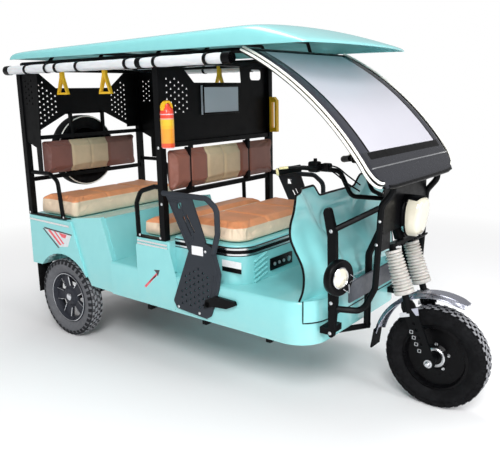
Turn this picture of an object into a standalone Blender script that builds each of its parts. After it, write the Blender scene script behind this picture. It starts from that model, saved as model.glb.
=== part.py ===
"""Battery rickshaw: three wheels, a driver's bench, two passenger benches and a tube-framed roof.

Metres, +X forward, +Y left, +Z up. The origin is on the ground under the middle of the length.
"""
import math

import bmesh
import bpy
from mathutils import Matrix, Vector

# Clearances
GAP = 0.0003          # between pieces that touch
PIN_GAP = 0.0005      # between a turning pin and its bore

# Running gear
FRONT_AXLE_X = 1.15
WHEELBASE = 2.15
TYRE_R = 0.24
TYRE_W = 0.093
BEAD_R = 0.158
TYRE_STEPS = 28        # flats round a tyre
RIM_W = 0.070
AXLE_R = 0.011
AXLE_CASE_R = 0.030
SPRING_Y = 0.2985
SPRING_WIDTH = 0.050
RAKE = math.radians(18.3)
FORK_OFFSET = 0.025   # the axle runs this far ahead of the steering line
FORK_HALF = 0.100
REAR_AXLE_X = FRONT_AXLE_X - WHEELBASE

# Body
BODY_HALF = 0.480
REAR_WHEEL_Y = BODY_HALF - 0.053
SKIN = 0.006
FLOOR_Z = 0.541
FLOOR_REAR_X = -0.552
FLOOR_FRONT_X = 0.755
FLOOR_CORNER_R = 0.150
SILL_REAR_Z = 0.355
SILL_FRONT_Z = 0.336
FLOOR_SHEET = 0.012
REAR_X = -1.303       # rear face of the fenders
FENDER_LOW_Z = 0.424
FENDER_TOP_Z = 0.735
DECK_Z = 0.776        # front edge of the rear bench's deck
ARCH_R = 0.276
WELL_IN_Y = BODY_HALF - 0.124   # inner wall of the wheel houses

# Benches
MID_BOX_REAR_X = -0.332
MID_BOX_FRONT_X = -0.090
MID_BOX_TOP_Z = 0.715
DRIVER_BASE_FRONT_X = 0.350
DRIVER_BASE_HALF = BODY_HALF - 0.050
DRIVER_BASE_TOP_Z = 0.738
CUSHION_H = 0.095

# Frames
POST = 0.036          # width of the square posts
POST_Y = BODY_HALF - POST / 2 - 0.002   # their centre lines
FOOT_STRIP = 0.006    # flat strip under the posts and armrests
REAR_POST_X = -1.283
MID_POST_X = -0.132
TUBE_R = 0.0125
RAIL_Z = 1.633        # centre line of the roof's side rails
RAIL_Y = BODY_HALF - 0.025
POST_TOP_Z = RAIL_Z - TUBE_R - GAP
BACK_LOW_Z = 0.965    # the backrests' lower and upper edges
BACK_TOP_Z = 1.182
BACK_THICK = 0.045
SPARE_Z = BACK_TOP_Z - 0.092
HOLE_STEP_Y = 0.0288  # the pattern of small triangles in the panels
HOLE_STEP_Z = 0.0330
HOLE_SIZE = 0.0085
BOW_R = 0.010
ROOF_HALF = BODY_HALF + 0.010
ROOF_REAR_X = -1.335
ROOF_FRONT_X = 0.775
ROOF_BREAK_X = 0.446  # where the roof starts to fall to its front edge
ROOF_TOP_Z = 1.742
ROOF_SKIN = 0.008

# Windscreen, seen from the side: three points of one arc
SCREEN_TOP = (0.390, 1.628)
SCREEN_MID = (0.739, 1.406)
SCREEN_LOW = (1.017, 1.085)
SCREEN_CORNER_R = 0.070
SCREEN_HALF = BODY_HALF - 0.040
SCREEN_RISE = 0.013   # the pane's inner face over the side tubes' centre line
NOSE_TOP_Z = 1.170

# Front
HEADLAMP_X = 1.015
SHIELD_HALF = BODY_HALF - 0.030
SHIELD_TOP_Z = 1.062
SHIELD_NOTCH_Z = 0.962
GUARD_Y = 0.250
STRIP_Y = BODY_HALF - 0.080
LAMP_R = 0.075
LAMP_Z = 0.670
HEAD_TUBE_R = 0.027
STEM_R = 0.015
CROWN_Z = 0.765
STEM_TOP_Z = 0.935
LEG_PLATE_Z = 0.492   # where the legs' side plates start
LEG_PLATE = 0.010
LEG_ROD_R = 0.016
NECK_X = 0.790        # the frame's upright ahead of the floor
RAIL_LOW_Z = 0.3135   # centre line of the chassis' lower rails
RAIL_SIZE = 0.036
RAIL_HALF = 0.250
RAIL_REAR_X = -1.290
NECK_R = 0.018
GUARD_FRONT = 64      # the mudguard's ends, in degrees from straight ahead of the axle
GUARD_REAR = 168

PARTS = bpy.data.collections.new("electric_rickshaw")
CUTTERS = bpy.data.collections.new("cutters")


def clear_scene():
    for ob in list(bpy.data.objects):
        bpy.data.objects.remove(ob, do_unlink=True)
    for collection in (PARTS, CUTTERS):
        bpy.context.scene.collection.children.link(collection)


def linear(channel):
    return channel / 12.92 if channel <= 0.04045 else ((channel + 0.055) / 1.055) ** 2.4


def material(name, colour, roughness, metallic=0.0):
    """A Principled material from an sRGB hex colour."""
    found = bpy.data.materials.get(name)
    if found:
        return found
    mat = bpy.data.materials.new(name)
    mat.use_nodes = True
    rgb = [linear(int(colour[i:i + 2], 16) / 255) for i in (0, 2, 4)]
    shader = mat.node_tree.nodes["Principled BSDF"]
    shader.inputs["Base Color"].default_value = (*rgb, 1.0)
    shader.inputs["Roughness"].default_value = roughness
    shader.inputs["Metallic"].default_value = metallic
    mat.diffuse_color = (*rgb, 1.0)
    return mat


def paint(name):
    colour, roughness, metallic = FINISHES[name]
    return material(name, colour, roughness, metallic)


# name: sRGB colour, roughness, metallic
FINISHES = {
    "aqua_body_plastic": ("A9E8E6", 0.25, 0.0),
    "black_frame_paint": ("17181A", 0.35, 0.0),
    "grey_plate_paint": ("3A3D42", 0.45, 0.0),
    "tyre_rubber": ("232427", 0.85, 0.0),
    "black_wheel_paint": ("1B1C1F", 0.40, 0.2),
    "white_glass": ("E4E6EE", 0.10, 0.0),
    "lamp_lens": ("E8EAEC", 0.12, 0.0),
    "gaiter_rubber": ("D9DADF", 0.60, 0.0),
    "bright_steel": ("C8CACD", 0.22, 1.0),
    "tan_leatherette": ("E39A6C", 0.55, 0.0),
    "brown_leatherette": ("7C4A3E", 0.55, 0.0),
    "curtain_vinyl": ("D8DADD", 0.50, 0.0),
    "yellow_plastic": ("E9B528", 0.40, 0.0),
    "red_paint": ("D8402C", 0.40, 0.0),
    "battery_plastic": ("2A2B2D", 0.60, 0.0),
    "print_card": ("B9C4CE", 0.60, 0.0),
}


def keep(ob, name, finish, smooth=40.0):
    """Name an object, give it its finish and put it with the parts."""
    for collection in list(ob.users_collection):
        collection.objects.unlink(ob)
    PARTS.objects.link(ob)
    ob.name = name
    ob.data.name = name
    ob.data.materials.clear()
    ob.data.materials.append(paint(finish))
    if smooth:
        ob.data.shade_smooth()
        ob.data.set_sharp_from_angle(angle=math.radians(smooth))
    return ob


def settled(ob):
    """The object's evaluated mesh as a plain mesh object, closed at its seams."""
    graph = bpy.context.evaluated_depsgraph_get()
    mesh = bpy.data.meshes.new_from_object(ob.evaluated_get(graph), depsgraph=graph)
    mesh.transform(ob.matrix_world)
    bm = bmesh.new()
    bm.from_mesh(mesh)
    bmesh.ops.remove_doubles(bm, verts=bm.verts, dist=0.00002)
    bm.to_mesh(mesh)
    bm.free()
    made = bpy.data.objects.new(ob.name, mesh)
    bpy.context.scene.collection.objects.link(made)
    bpy.data.objects.remove(ob, do_unlink=True)
    return made


def refresh():
    bpy.context.view_layer.update()


def combine(base, others, operation):
    """Apply one exact Boolean after another and return the finished mesh object."""
    for other in others:
        step = base.modifiers.new("join", "BOOLEAN")
        step.operation = operation
        step.solver = "EXACT"
        step.object = other
        refresh()
        base = settled(base)
        bpy.data.objects.remove(other, do_unlink=True)
    return base


def joined(pieces):
    return combine(pieces[0], pieces[1:], "UNION")


def cut(base, cutters):
    return combine(base, cutters, "DIFFERENCE")


def box(x0, x1, y0, y1, z0, z1, bevel=0.0, segments=1):
    """A box between two corners, with all edges rounded when bevel is set."""
    bpy.ops.mesh.primitive_cube_add(size=1, location=(0, 0, 0))
    ob = bpy.context.active_object
    size = Vector((abs(x1 - x0), abs(y1 - y0), abs(z1 - z0)))
    centre = Vector(((x0 + x1) / 2, (y0 + y1) / 2, (z0 + z1) / 2))
    ob.data.transform(Matrix.Translation(centre) @ Matrix.Diagonal((*size, 1)))
    if bevel:
        rounding = ob.modifiers.new("rounding", "BEVEL")
        rounding.width = bevel
        rounding.segments = segments
        rounding.limit_method = "NONE"
    refresh()
    return settled(ob)


def slab(outline, thickness, plane, middle):
    """A flat outline of (first, second) axis values made thick about the plane's middle.

    The planes: "xz" lies across Y, "xy" across Z and "yz" across X.
    """
    curve = bpy.data.curves.new("outline", "CURVE")
    curve.dimensions = "2D"
    curve.fill_mode = "BOTH"
    curve.extrude = thickness / 2
    for ring in outline if isinstance(outline[0][0], (list, tuple)) else [outline]:
        spline = curve.splines.new("POLY")
        spline.points.add(len(ring) - 1)
        for point, (u, v) in zip(spline.points, ring):
            point.co = (u, v, 0, 1)
        spline.use_cyclic_u = True
    ob = bpy.data.objects.new("outline", curve)
    bpy.context.scene.collection.objects.link(ob)
    turns = {
        "xz": Matrix.Translation((0, middle, 0)) @ Matrix.Rotation(math.pi / 2, 4, "X"),
        "xy": Matrix.Translation((0, 0, middle)),
        "yz": Matrix.Translation((middle, 0, 0)) @ Matrix(((0, 0, 1, 0), (1, 0, 0, 0), (0, 1, 0, 0), (0, 0, 0, 1))),
    }
    ob.matrix_world = turns[plane]
    refresh()
    return settled(ob)


def rounded(points, radius, steps=4, closed=False):
    """A path or outline with its corners turned into arcs."""
    points = [Vector(p) for p in points]
    last = len(points) - 1
    path = []
    for i, corner in enumerate(points):
        if not closed and i in (0, last):
            path.append(corner)
            continue
        before = points[i - 1] - corner
        after = points[(i + 1) % len(points)] - corner
        angle = before.angle(after)
        if angle > math.pi - 0.02:
            path.append(corner)
            continue
        reach = min(radius / math.tan(angle / 2), before.length * 0.49, after.length * 0.49)
        turn = reach * math.tan(angle / 2)
        middle = corner + (before.normalized() + after.normalized()).normalized() * turn / math.sin(angle / 2)
        start = corner + before.normalized() * reach - middle
        end = corner + after.normalized() * reach - middle
        sweep = start.angle(end)
        for step in range(steps + 1):
            share = step / steps
            arm = (start * math.sin((1 - share) * sweep) + end * math.sin(share * sweep)) / math.sin(sweep)
            path.append(middle + arm)
    return path


def tube(points, radius, bend=0.0, steps=4, closed=False, sides=2):
    """A round tube along the points, with bent corners."""
    path = rounded(points, bend, steps, closed) if bend else [Vector(p) for p in points]
    curve = bpy.data.curves.new("tube", "CURVE")
    curve.dimensions = "3D"
    curve.bevel_depth = radius
    curve.bevel_resolution = sides
    curve.use_fill_caps = not closed
    spline = curve.splines.new("POLY")
    spline.points.add(len(path) - 1)
    for point, place in zip(spline.points, path):
        point.co = (*place, 1)
    spline.use_cyclic_u = closed
    ob = bpy.data.objects.new("tube", curve)
    bpy.context.scene.collection.objects.link(ob)
    refresh()
    return settled(ob)


def turned(profile, steps=32):
    """A closed (radius, height) profile turned about Y, its height along +Y.

    The profile runs down its outer side, top to bottom, and back up its inner side.
    """
    mesh = bpy.data.meshes.new("turned")
    verts = [(radius, 0, height) for radius, height in profile]
    edges = [(i, (i + 1) % len(verts)) for i in range(len(verts))]
    mesh.from_pydata(verts, edges, [])
    ob = bpy.data.objects.new("turned", mesh)
    bpy.context.scene.collection.objects.link(ob)
    screw = ob.modifiers.new("turn", "SCREW")
    screw.axis = "Z"
    screw.steps = steps
    screw.render_steps = steps
    screw.merge_threshold = 0.00002
    screw.use_merge_vertices = True
    refresh()
    ob.matrix_world = Matrix.Rotation(-math.pi / 2, 4, "X")
    refresh()
    return outward(settled(ob))


def outward(ob):
    """Recalculate the faces of a closed mesh so that they point out."""
    bm = bmesh.new()
    bm.from_mesh(ob.data)
    bmesh.ops.recalc_face_normals(bm, faces=bm.faces)
    bm.to_mesh(ob.data)
    bm.free()
    return ob


def disc(radius, y0, y1, x=0.0, z=0.0, sides=24):
    """A solid cylinder along Y."""
    bpy.ops.mesh.primitive_cylinder_add(vertices=sides, radius=radius, depth=abs(y1 - y0))
    ob = bpy.context.active_object
    ob.data.transform(Matrix.Translation((x, (y0 + y1) / 2, z)) @ Matrix.Rotation(math.pi / 2, 4, "X"))
    return settled(ob)


def rod(start, end, radius, sides=16):
    """A solid cylinder from one point to another."""
    start = Vector(start)
    end = Vector(end)
    run = end - start
    bpy.ops.mesh.primitive_cylinder_add(vertices=sides, radius=radius, depth=run.length)
    ob = bpy.context.active_object
    turn = run.to_track_quat("Z", "Y").to_matrix().to_4x4()
    ob.data.transform(Matrix.Translation((start + end) / 2) @ turn)
    return settled(ob)


def sheet(place, across, along, thickness):
    """A skin through place(u, v) for u and v in 0..1, thickened inward from its face."""
    bm = bmesh.new()
    bmesh.ops.create_grid(bm, x_segments=across, y_segments=along, size=1)
    for vert in bm.verts:
        vert.co = Vector(place((vert.co.x + 1) / 2, (vert.co.y + 1) / 2))
    mesh = bpy.data.meshes.new("sheet")
    bm.to_mesh(mesh)
    bm.free()
    ob = bpy.data.objects.new("sheet", mesh)
    bpy.context.scene.collection.objects.link(ob)
    shell = ob.modifiers.new("skin", "SOLIDIFY")
    shell.thickness = thickness
    shell.offset = -1
    refresh()
    return outward(settled(ob))


def moved(ob, x=0.0, y=0.0, z=0.0):
    ob.data.transform(Matrix.Translation((x, y, z)))
    return ob


def flipped(ob):
    """A copy mirrored to the other side of the middle plane."""
    mesh = ob.data.copy()
    mesh.transform(Matrix.Diagonal((1, -1, 1, 1)))
    mesh.flip_normals()
    made = bpy.data.objects.new(ob.name, mesh)
    bpy.context.scene.collection.objects.link(made)
    return made


def both_sides(right, name, finish):
    """Keep a right-hand piece and its mirrored left-hand one."""
    left = flipped(right)
    keep(right, name + "_right", finish)
    keep(left, name + "_left", finish)


def arc(centre, radius, start, end, steps):
    """Points of an arc in a plane, angles in degrees."""
    points = []
    for step in range(steps + 1):
        angle = math.radians(start + (end - start) * step / steps)
        points.append((centre[0] + radius * math.cos(angle), centre[1] + radius * math.sin(angle)))
    return points


def arc_through(first, middle, last, steps):
    """Points of the arc through three points of a plane."""
    (ax, ay), (bx, by), (cx, cy) = first, middle, last
    d = 2 * (ax * (by - cy) + bx * (cy - ay) + cx * (ay - by))
    ux = ((ax * ax + ay * ay) * (by - cy) + (bx * bx + by * by) * (cy - ay) + (cx * cx + cy * cy) * (ay - by)) / d
    uy = ((ax * ax + ay * ay) * (cx - bx) + (bx * bx + by * by) * (ax - cx) + (cx * cx + cy * cy) * (bx - ax)) / d
    radius = math.hypot(ax - ux, ay - uy)
    start = math.degrees(math.atan2(ay - uy, ax - ux))
    end = math.degrees(math.atan2(cy - uy, cx - ux))
    return arc((ux, uy), radius, start, end, steps)


def steer_x(z):
    """Where the steering line runs at a height."""
    return FRONT_AXLE_X - FORK_OFFSET - (z - TYRE_R) * math.tan(RAKE)


# Wheels

def tyre_profile():
    half = TYRE_W / 2
    # radius, share of the half width, down the outer side and back along the bead
    outer = [(BEAD_R + 0.004, 0.62), (BEAD_R + 0.030, 0.94), (TYRE_R - 0.032, 1.0), (TYRE_R - 0.010, 0.84),
             (TYRE_R, 0.50), (TYRE_R, -0.50), (TYRE_R - 0.010, -0.84), (TYRE_R - 0.032, -1.0),
             (BEAD_R + 0.030, -0.94), (BEAD_R + 0.004, -0.62)]
    return [(radius, share * half) for radius, share in outer]


def spare_profile():
    """Tyre and rim of the spare as one ring."""
    half = RIM_W / 2
    return tyre_profile() + [(BEAD_R - 0.018, -half * 0.9), (BEAD_R - 0.022, -0.010), (0.062, -0.010),
                             (AXLE_R + GAP * 2, -0.018), (AXLE_R + GAP * 2, 0.018), (0.062, 0.006),
                             (BEAD_R - 0.022, 0.006), (BEAD_R - 0.018, half * 0.9)]


def rim_profile():
    half = RIM_W / 2
    seat = (BEAD_R + 0.004) * math.cos(math.pi / TYRE_STEPS) - GAP
    return [(seat, half * 0.80), (seat, -half * 0.80), (BEAD_R - 0.012, -half), (BEAD_R - 0.018, -half * 0.6),
            (BEAD_R - 0.022, -0.010), (0.062, -0.010), (0.050, -0.020), (AXLE_R + PIN_GAP, -0.026),
            (AXLE_R + PIN_GAP, 0.026), (0.050, 0.020), (0.062, 0.006), (BEAD_R - 0.022, 0.006),
            (BEAD_R - 0.018, half * 0.6), (BEAD_R - 0.012, half)]


def wheel(name, x, y, windows):
    tyre = turned(tyre_profile(), TYRE_STEPS)
    keep(moved(tyre, x, y, TYRE_R), name + "_tyre", "tyre_rubber")
    rim = turned(rim_profile(), 24)
    if windows:
        cutters = []
        for spoke in range(windows):
            turn = 360 * spoke / windows
            outline = arc((0, 0), BEAD_R - 0.030, turn - 20, turn + 20, 2) + arc((0, 0), 0.070, turn + 14, turn - 14, 1)
            cutters.append(slab(outline, 0.05, "xz", 0))
        rim = cut(rim, cutters)
    keep(moved(rim, x, y, TYRE_R), name + "_rim", "black_wheel_paint")


# Fork, all of it turns with the front wheel

def along_fork(z, y, ahead=0.0):
    return Vector((steer_x(z) + ahead, y, z))


def build_fork():
    leg_top = CROWN_Z
    plate_top = LEG_PLATE_Z
    spread = FORK_HALF
    pieces = [rod(along_fork(CROWN_Z - 0.02, 0), along_fork(STEM_TOP_Z, 0), STEM_R)]
    crown = [(-spread - 0.035, -0.034), (spread + 0.035, -0.034), (spread + 0.035, 0.034), (-spread - 0.035, 0.034)]
    plate = slab([(u, v) for v, u in rounded_flat(crown, 0.02)], 0.016, "xy", 0)
    plate.data.transform(Matrix.Translation(along_fork(leg_top, 0)) @ Matrix.Rotation(-RAKE, 4, "Y"))
    pieces.append(plate)
    for side in (-1, 1):
        y = side * spread
        pieces.append(rod(along_fork(leg_top, y), along_fork(plate_top - 0.03, y), LEG_ROD_R, 12))
        low = (FRONT_AXLE_X, TYRE_R)
        top = (steer_x(plate_top), plate_top)
        outline = leg_outline(top, low, 0.034, 0.030)
        leg = slab(outline, LEG_PLATE, "xz", y)
        holes = []
        for i in range(4):
            share = 0.30 + 0.12 * i
            hx = top[0] + (low[0] - top[0]) * share
            hz = top[1] + (low[1] - top[1]) * share
            holes.append(box(hx - 0.006, hx + 0.006, y - 0.02, y + 0.02, hz - 0.006, hz + 0.006))
        pieces.append(cut(leg, holes))
        pieces.append(disc(0.018, side * 0.032, side * (spread - 0.002), *low, 12))
    pieces.append(disc(AXLE_R, -spread - 0.022, spread + 0.022, FRONT_AXLE_X, TYRE_R, 16))
    keep(joined(pieces), "fork", "black_frame_paint")


def rounded_flat(points, radius, steps=3):
    path = rounded([(u, v, 0) for u, v in points], radius, steps, closed=True)
    return [(p.x, p.y) for p in path]


def leg_outline(top, low, top_half, low_half):
    """A tapered plate between two round ends."""
    lean = math.degrees(math.atan2(low[1] - top[1], low[0] - top[0]))
    upper = arc(top, top_half, lean + 90, lean + 270, 5)
    lower = arc(low, low_half, lean - 90, lean + 90, 5)
    return upper + lower


def build_gaiters():
    """Ribbed rubber gaiters over the fork's springs."""
    low_z, top_z = 0.548, CROWN_Z - 0.022
    ribs = 6
    for side, word in ((-1, "right"), (1, "left")):
        length = (top_z - low_z) / math.cos(RAKE)
        bore = LEG_ROD_R + GAP * 2
        outer = []
        for i in range(ribs * 2 + 1):
            share = i / (ribs * 2)
            wide = 0.052 - 0.010 * share
            outer.append((wide if i % 2 == 0 else wide - 0.007, length / 2 - share * length))
        profile = outer + [(bore, -length / 2), (bore, length / 2)]
        ob = turned(profile, 14)
        middle = along_fork((low_z + top_z) / 2, side * FORK_HALF)
        # the turned piece stands along Y: lay it along the fork, top end up
        stand = Matrix.Rotation(-RAKE, 4, "Y") @ Matrix.Rotation(math.pi / 2, 4, "X")
        ob.data.transform(Matrix.Translation(middle) @ stand)
        keep(ob, "gaiter_" + word, "gaiter_rubber")


def build_mudguard():
    """Curved guard over the front tyre with its stays to the legs and its rear flap."""
    radius = TYRE_R + 0.070
    half = 0.052
    centre = (FRONT_AXLE_X, TYRE_R)
    def place(u, v):
        """Across the tyre by u, its outer tenths turned down, and round it by v."""
        share = abs(2 * u - 1)
        drop = 0.018 * max(0.0, share - 0.75) / 0.25
        angle = math.radians(GUARD_FRONT + (GUARD_REAR - GUARD_FRONT) * v)
        reach = radius - drop
        return (centre[0] + reach * math.cos(angle), half * (2 * u - 1), centre[1] + reach * math.sin(angle))

    pieces = [sheet(place, 8, 14, 0.004)]
    x = steer_x(LEG_PLATE_Z) - 0.016
    for side in (-1, 1):
        pieces.append(box(x, x + 0.030, side * (half - 0.006), side * (FORK_HALF - LEG_ROD_R - GAP),
                          0.512, 0.519))
    end_x, _, end_z = place(0.5, 1.0)
    pieces.append(box(end_x - 0.004, end_x + 0.002, -half + 0.006, half - 0.006, end_z - 0.085, end_z + 0.006))
    keep(joined(pieces), "front_mudguard", "bright_steel")


def build_handlebar():
    """Pull-back bar with grips, clamped on the stem."""
    post = along_fork(STEM_TOP_Z + 0.022, 0)
    path = [post + Vector((0, -0.005, 0)), (0.745, -0.105, 0.972), (0.690, -0.120, 1.090), (0.560, -0.235, 1.108),
            (0.475, -0.310, 1.092)]
    path = [Vector(p) for p in path]
    path[0].y = 0.0
    other = [Vector((p.x, -p.y, p.z)) for p in reversed(path)][:-1]
    bar = tube(path[::-1] + other[::-1], 0.011, 0.04, 4)
    clamp = rod(along_fork(STEM_TOP_Z + GAP, 0), along_fork(STEM_TOP_Z + 0.040, 0), 0.020)
    pieces = [bar, clamp]
    for side in (-1, 1):
        start = Vector((0.475, side * 0.310, 1.092))
        end = Vector((0.560, side * 0.235, 1.108))
        run = (end - start)
        pieces.append(rod(start - run * 0.06, start + run * 0.92, 0.017, 12))
    keep(joined(pieces), "handlebar", "black_frame_paint")


def main():
    clear_scene()
    build_running_gear()
    build_body()
    build_frames()
    build_front()
    build_fork()
    build_gaiters()
    build_mudguard()
    build_handlebar()


def build_running_gear():
    wheel("front", FRONT_AXLE_X, 0, 0)
    wheel("rear_right", REAR_AXLE_X, -REAR_WHEEL_Y, 5)
    wheel("rear_left", REAR_AXLE_X, REAR_WHEEL_Y, 5)
    build_rear_axle()


def build_rear_axle():
    """Axle casing with its motor and gear case, on two leaf springs."""
    end = REAR_WHEEL_Y - 0.032
    casing = disc(AXLE_CASE_R, -end, end, REAR_AXLE_X, TYRE_R, 16)
    gear = disc(0.085, -0.060, 0.060, REAR_AXLE_X, TYRE_R, 16)
    motor = disc(0.070, 0.055, 0.224, REAR_AXLE_X, TYRE_R, 16)
    tips = disc(AXLE_R, -REAR_WHEEL_Y - 0.030, REAR_WHEEL_Y + 0.030, REAR_AXLE_X, TYRE_R, 16)
    keep(joined([casing, gear, motor, tips]), "rear_axle", "black_frame_paint")
    for side, word in ((-1, "right"), (1, "left")):
        y = side * SPRING_Y
        centre = (REAR_AXLE_X, TYRE_R + AXLE_CASE_R + GAP + 0.715)
        bow = arc(centre, 0.715, 247, 293, 8) + arc(centre, 0.697, 293, 247, 8)
        spring = slab(bow, SPRING_WIDTH, "xz", y)
        keep(spring, "leaf_spring_" + word, "black_frame_paint", smooth=0)


def build_body():
    build_floor()
    build_rear_body()
    build_seats()


def build_floor():
    outline = [(FLOOR_REAR_X, SILL_REAR_Z), (FLOOR_FRONT_X, SILL_FRONT_Z), (FLOOR_FRONT_X, FLOOR_Z), (FLOOR_REAR_X, FLOOR_Z)]
    tub = slab(outline, BODY_HALF * 2, "xz", 0)
    tub = bevelled(tub, FLOOR_CORNER_R, 5, lambda a, b: a.x > FLOOR_FRONT_X - 0.01 and b.x > FLOOR_FRONT_X - 0.01
                   and abs(a.z - b.z) > 0.1)
    tub = bevelled(tub, 0.014, 2, lambda a, b: a.z > FLOOR_Z - 0.001 and b.z > FLOOR_Z - 0.001
                   and min(a.x, b.x) > FLOOR_REAR_X - 0.001 and max(a.x, b.x) > FLOOR_REAR_X + 0.001)
    hollow = box(FLOOR_REAR_X + SKIN, FLOOR_FRONT_X - SKIN, -BODY_HALF + SKIN, BODY_HALF - SKIN,
                 0.20, FLOOR_Z - FLOOR_SHEET)
    hollow = bevelled(hollow, FLOOR_CORNER_R, 5, lambda a, b: min(a.x, b.x) > FLOOR_FRONT_X - 0.01
                      and abs(a.z - b.z) > 0.1)
    keep(cut(tub, [hollow]), "floor_pan", "aqua_body_plastic")


def bevelled(ob, width, segments, chosen):
    """Round the edges whose two ends pass the test."""
    bm = bmesh.new()
    bm.from_mesh(ob.data)
    edges = [e for e in bm.edges if chosen(e.verts[0].co, e.verts[1].co) and e.calc_face_angle(0) > 0.3]
    bmesh.ops.bevel(bm, geom=edges, offset=width, segments=segments, profile=0.5, affect="EDGES",
                    clamp_overlap=True)
    bm.to_mesh(ob.data)
    bm.free()
    return ob


def build_rear_body():
    centre = (REAR_AXLE_X, TYRE_R + 0.004)
    front_low = math.degrees(math.asin((0.362 - centre[1]) / ARCH_R))
    rear_low = 180 - math.degrees(math.asin((FENDER_LOW_Z - centre[1]) / ARCH_R))
    arch = arc(centre, ARCH_R, front_low, rear_low, 14)
    # the side wall: front edge, deck line, rear edge and the wheel arch
    wall_front = FLOOR_REAR_X - GAP
    flap_x = REAR_AXLE_X - TYRE_R - 0.018
    side = [(wall_front, SILL_REAR_Z), (wall_front, FLOOR_Z + 0.004), (-0.628, 0.782), (-0.872, 0.750),
            (-0.900, FENDER_TOP_Z), (REAR_X + 0.006, FENDER_TOP_Z), (REAR_X, FENDER_LOW_Z)]
    outline = side + arch[::-1]
    inner = POST_Y - POST / 2
    wall_out = BODY_HALF - 0.012
    wall = slab(outline, wall_out - inner, "xz", -(wall_out + inner) / 2)
    # the proud fender panel over the wheel
    proud = [(-0.893, 0.728), (REAR_X + 0.006, 0.733), (REAR_X, FENDER_LOW_Z)] + arch[::-1][:-3] + [(-0.781, 0.409)]
    panel = slab(proud, BODY_HALF - wall_out, "xz", -(BODY_HALF + wall_out) / 2)
    # the wheel house over the tyre
    band = arc(centre, ARCH_R + SKIN, front_low, rear_low, 14) + arc(centre, ARCH_R, rear_low, front_low, 14)
    house = slab(band, wall_out - WELL_IN_Y, "xz", -(wall_out + WELL_IN_Y) / 2)
    flap = box(flap_x - 0.005, flap_x, -BODY_HALF + 0.002, -0.375, 0.240, FENDER_LOW_Z + 0.006)
    both_sides(joined([wall, panel, house, flap]), "rear_fender", "aqua_body_plastic")
    # the bench: a slanted front wall, the deck and two inner walls
    inner -= GAP
    rear = REAR_POST_X + POST / 2 + GAP
    foot = FLOOR_REAR_X + SKIN
    dip = FENDER_TOP_Z
    upper = [(foot - 0.076, DECK_Z), (-0.872, dip + 0.012), (-0.905, dip), (rear, dip)]
    under = [(x + (SKIN if x == rear else 0), z - SKIN) for x, z in upper[:0:-1]] + [(foot - 0.083, DECK_Z - SKIN)]
    front = [(foot, FLOOR_Z + GAP)] + upper + [(rear, 0.600), (rear + SKIN, 0.600)] + under + [(foot - SKIN, FLOOR_Z + GAP)]
    bench = slab(front, inner * 2, "xz", 0)
    walls = []
    for side in (-1, 1):
        y = side * (WELL_IN_Y - GAP - 0.003)
        walls.append(slab([(-0.600, 0.42), (-0.645, DECK_Z - 0.008), (-0.872, dip + 0.008), (-0.905, dip - 0.003),
                           (rear + 0.003, dip - 0.003), (rear + 0.003, 0.42)], SKIN, "xz", y))
    keep(joined([bench] + walls), "rear_seat_base", "aqua_body_plastic")
    tail = box(REAR_X, REAR_X + 0.008, -inner, inner, FENDER_LOW_Z, FENDER_TOP_Z)
    shelf = box(REAR_X + 0.002, rear - GAP, -inner, inner, FENDER_TOP_Z - SKIN, FENDER_TOP_Z)
    keep(joined([tail, shelf]), "tail_panel", "aqua_body_plastic", smooth=0)
    battery = box(-1.200, -0.760, -0.262, 0.262, RAIL_LOW_Z + RAIL_SIZE / 2 + GAP, 0.560, 0.006)
    keep(battery, "battery_block", "battery_plastic", smooth=0)


def build_seats():
    mid = box(MID_BOX_REAR_X, MID_BOX_FRONT_X, -BODY_HALF + 0.002, BODY_HALF - 0.002, FLOOR_Z + GAP, MID_BOX_TOP_Z, 0.008, 2)
    inside = box(MID_BOX_REAR_X + SKIN, MID_BOX_FRONT_X - SKIN, -BODY_HALF + 0.002 + SKIN, BODY_HALF - 0.002 - SKIN,
                 FLOOR_Z - 0.05, MID_BOX_TOP_Z - SKIN)
    keep(cut(mid, [inside]), "mid_seat_box", "aqua_body_plastic")
    x0 = MID_BOX_FRONT_X + GAP
    base = box(x0, DRIVER_BASE_FRONT_X, -DRIVER_BASE_HALF, DRIVER_BASE_HALF, FLOOR_Z + GAP, DRIVER_BASE_TOP_Z)
    base = bevelled(base, 0.110, 6, lambda a, b: a.x > DRIVER_BASE_FRONT_X - 0.01 and b.x > DRIVER_BASE_FRONT_X - 0.01
                    and abs(a.z - b.z) > 0.1)
    base = bevelled(base, 0.010, 2, lambda a, b: a.z > DRIVER_BASE_TOP_Z - 0.001 and b.z > DRIVER_BASE_TOP_Z - 0.001)
    inside = box(x0 + SKIN, DRIVER_BASE_FRONT_X - 0.040, -DRIVER_BASE_HALF + SKIN * 6, DRIVER_BASE_HALF - SKIN * 6,
                 FLOOR_Z - 0.05, DRIVER_BASE_TOP_Z - SKIN)
    keep(cut(base, [inside]), "driver_seat_base", "aqua_body_plastic")
    wide = POST_Y - POST / 2 - 0.017
    # name: x0, x1, half width, underside, height, radius of the front corners
    cushions = {
        "rear_cushion": (REAR_POST_X + POST / 2 + 0.008, -0.915, wide, FENDER_TOP_Z, 0.118, 0.030),
        "mid_cushion": (MID_BOX_REAR_X + 0.004, MID_POST_X - POST / 2 - 0.006, wide, MID_BOX_TOP_Z, CUSHION_H, 0.010),
        "driver_cushion": (MID_POST_X + POST / 2 + 0.055, DRIVER_BASE_FRONT_X - 0.030, wide - 0.020, DRIVER_BASE_TOP_Z,
                           CUSHION_H, 0.090),
    }
    for name, (rear, front, half, under, height, corner) in cushions.items():
        pad = box(rear, front, -half, half, under + GAP, under + height)
        pad = bevelled(pad, corner, 5, lambda a, b: min(a.x, b.x) > front - 0.001 and abs(a.z - b.z) > 0.05)
        pad = bevelled(pad, 0.022, 3, lambda a, b: min(a.z, b.z) > under + height - 0.001)
        keep(pad, name, "tan_leatherette")


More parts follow.
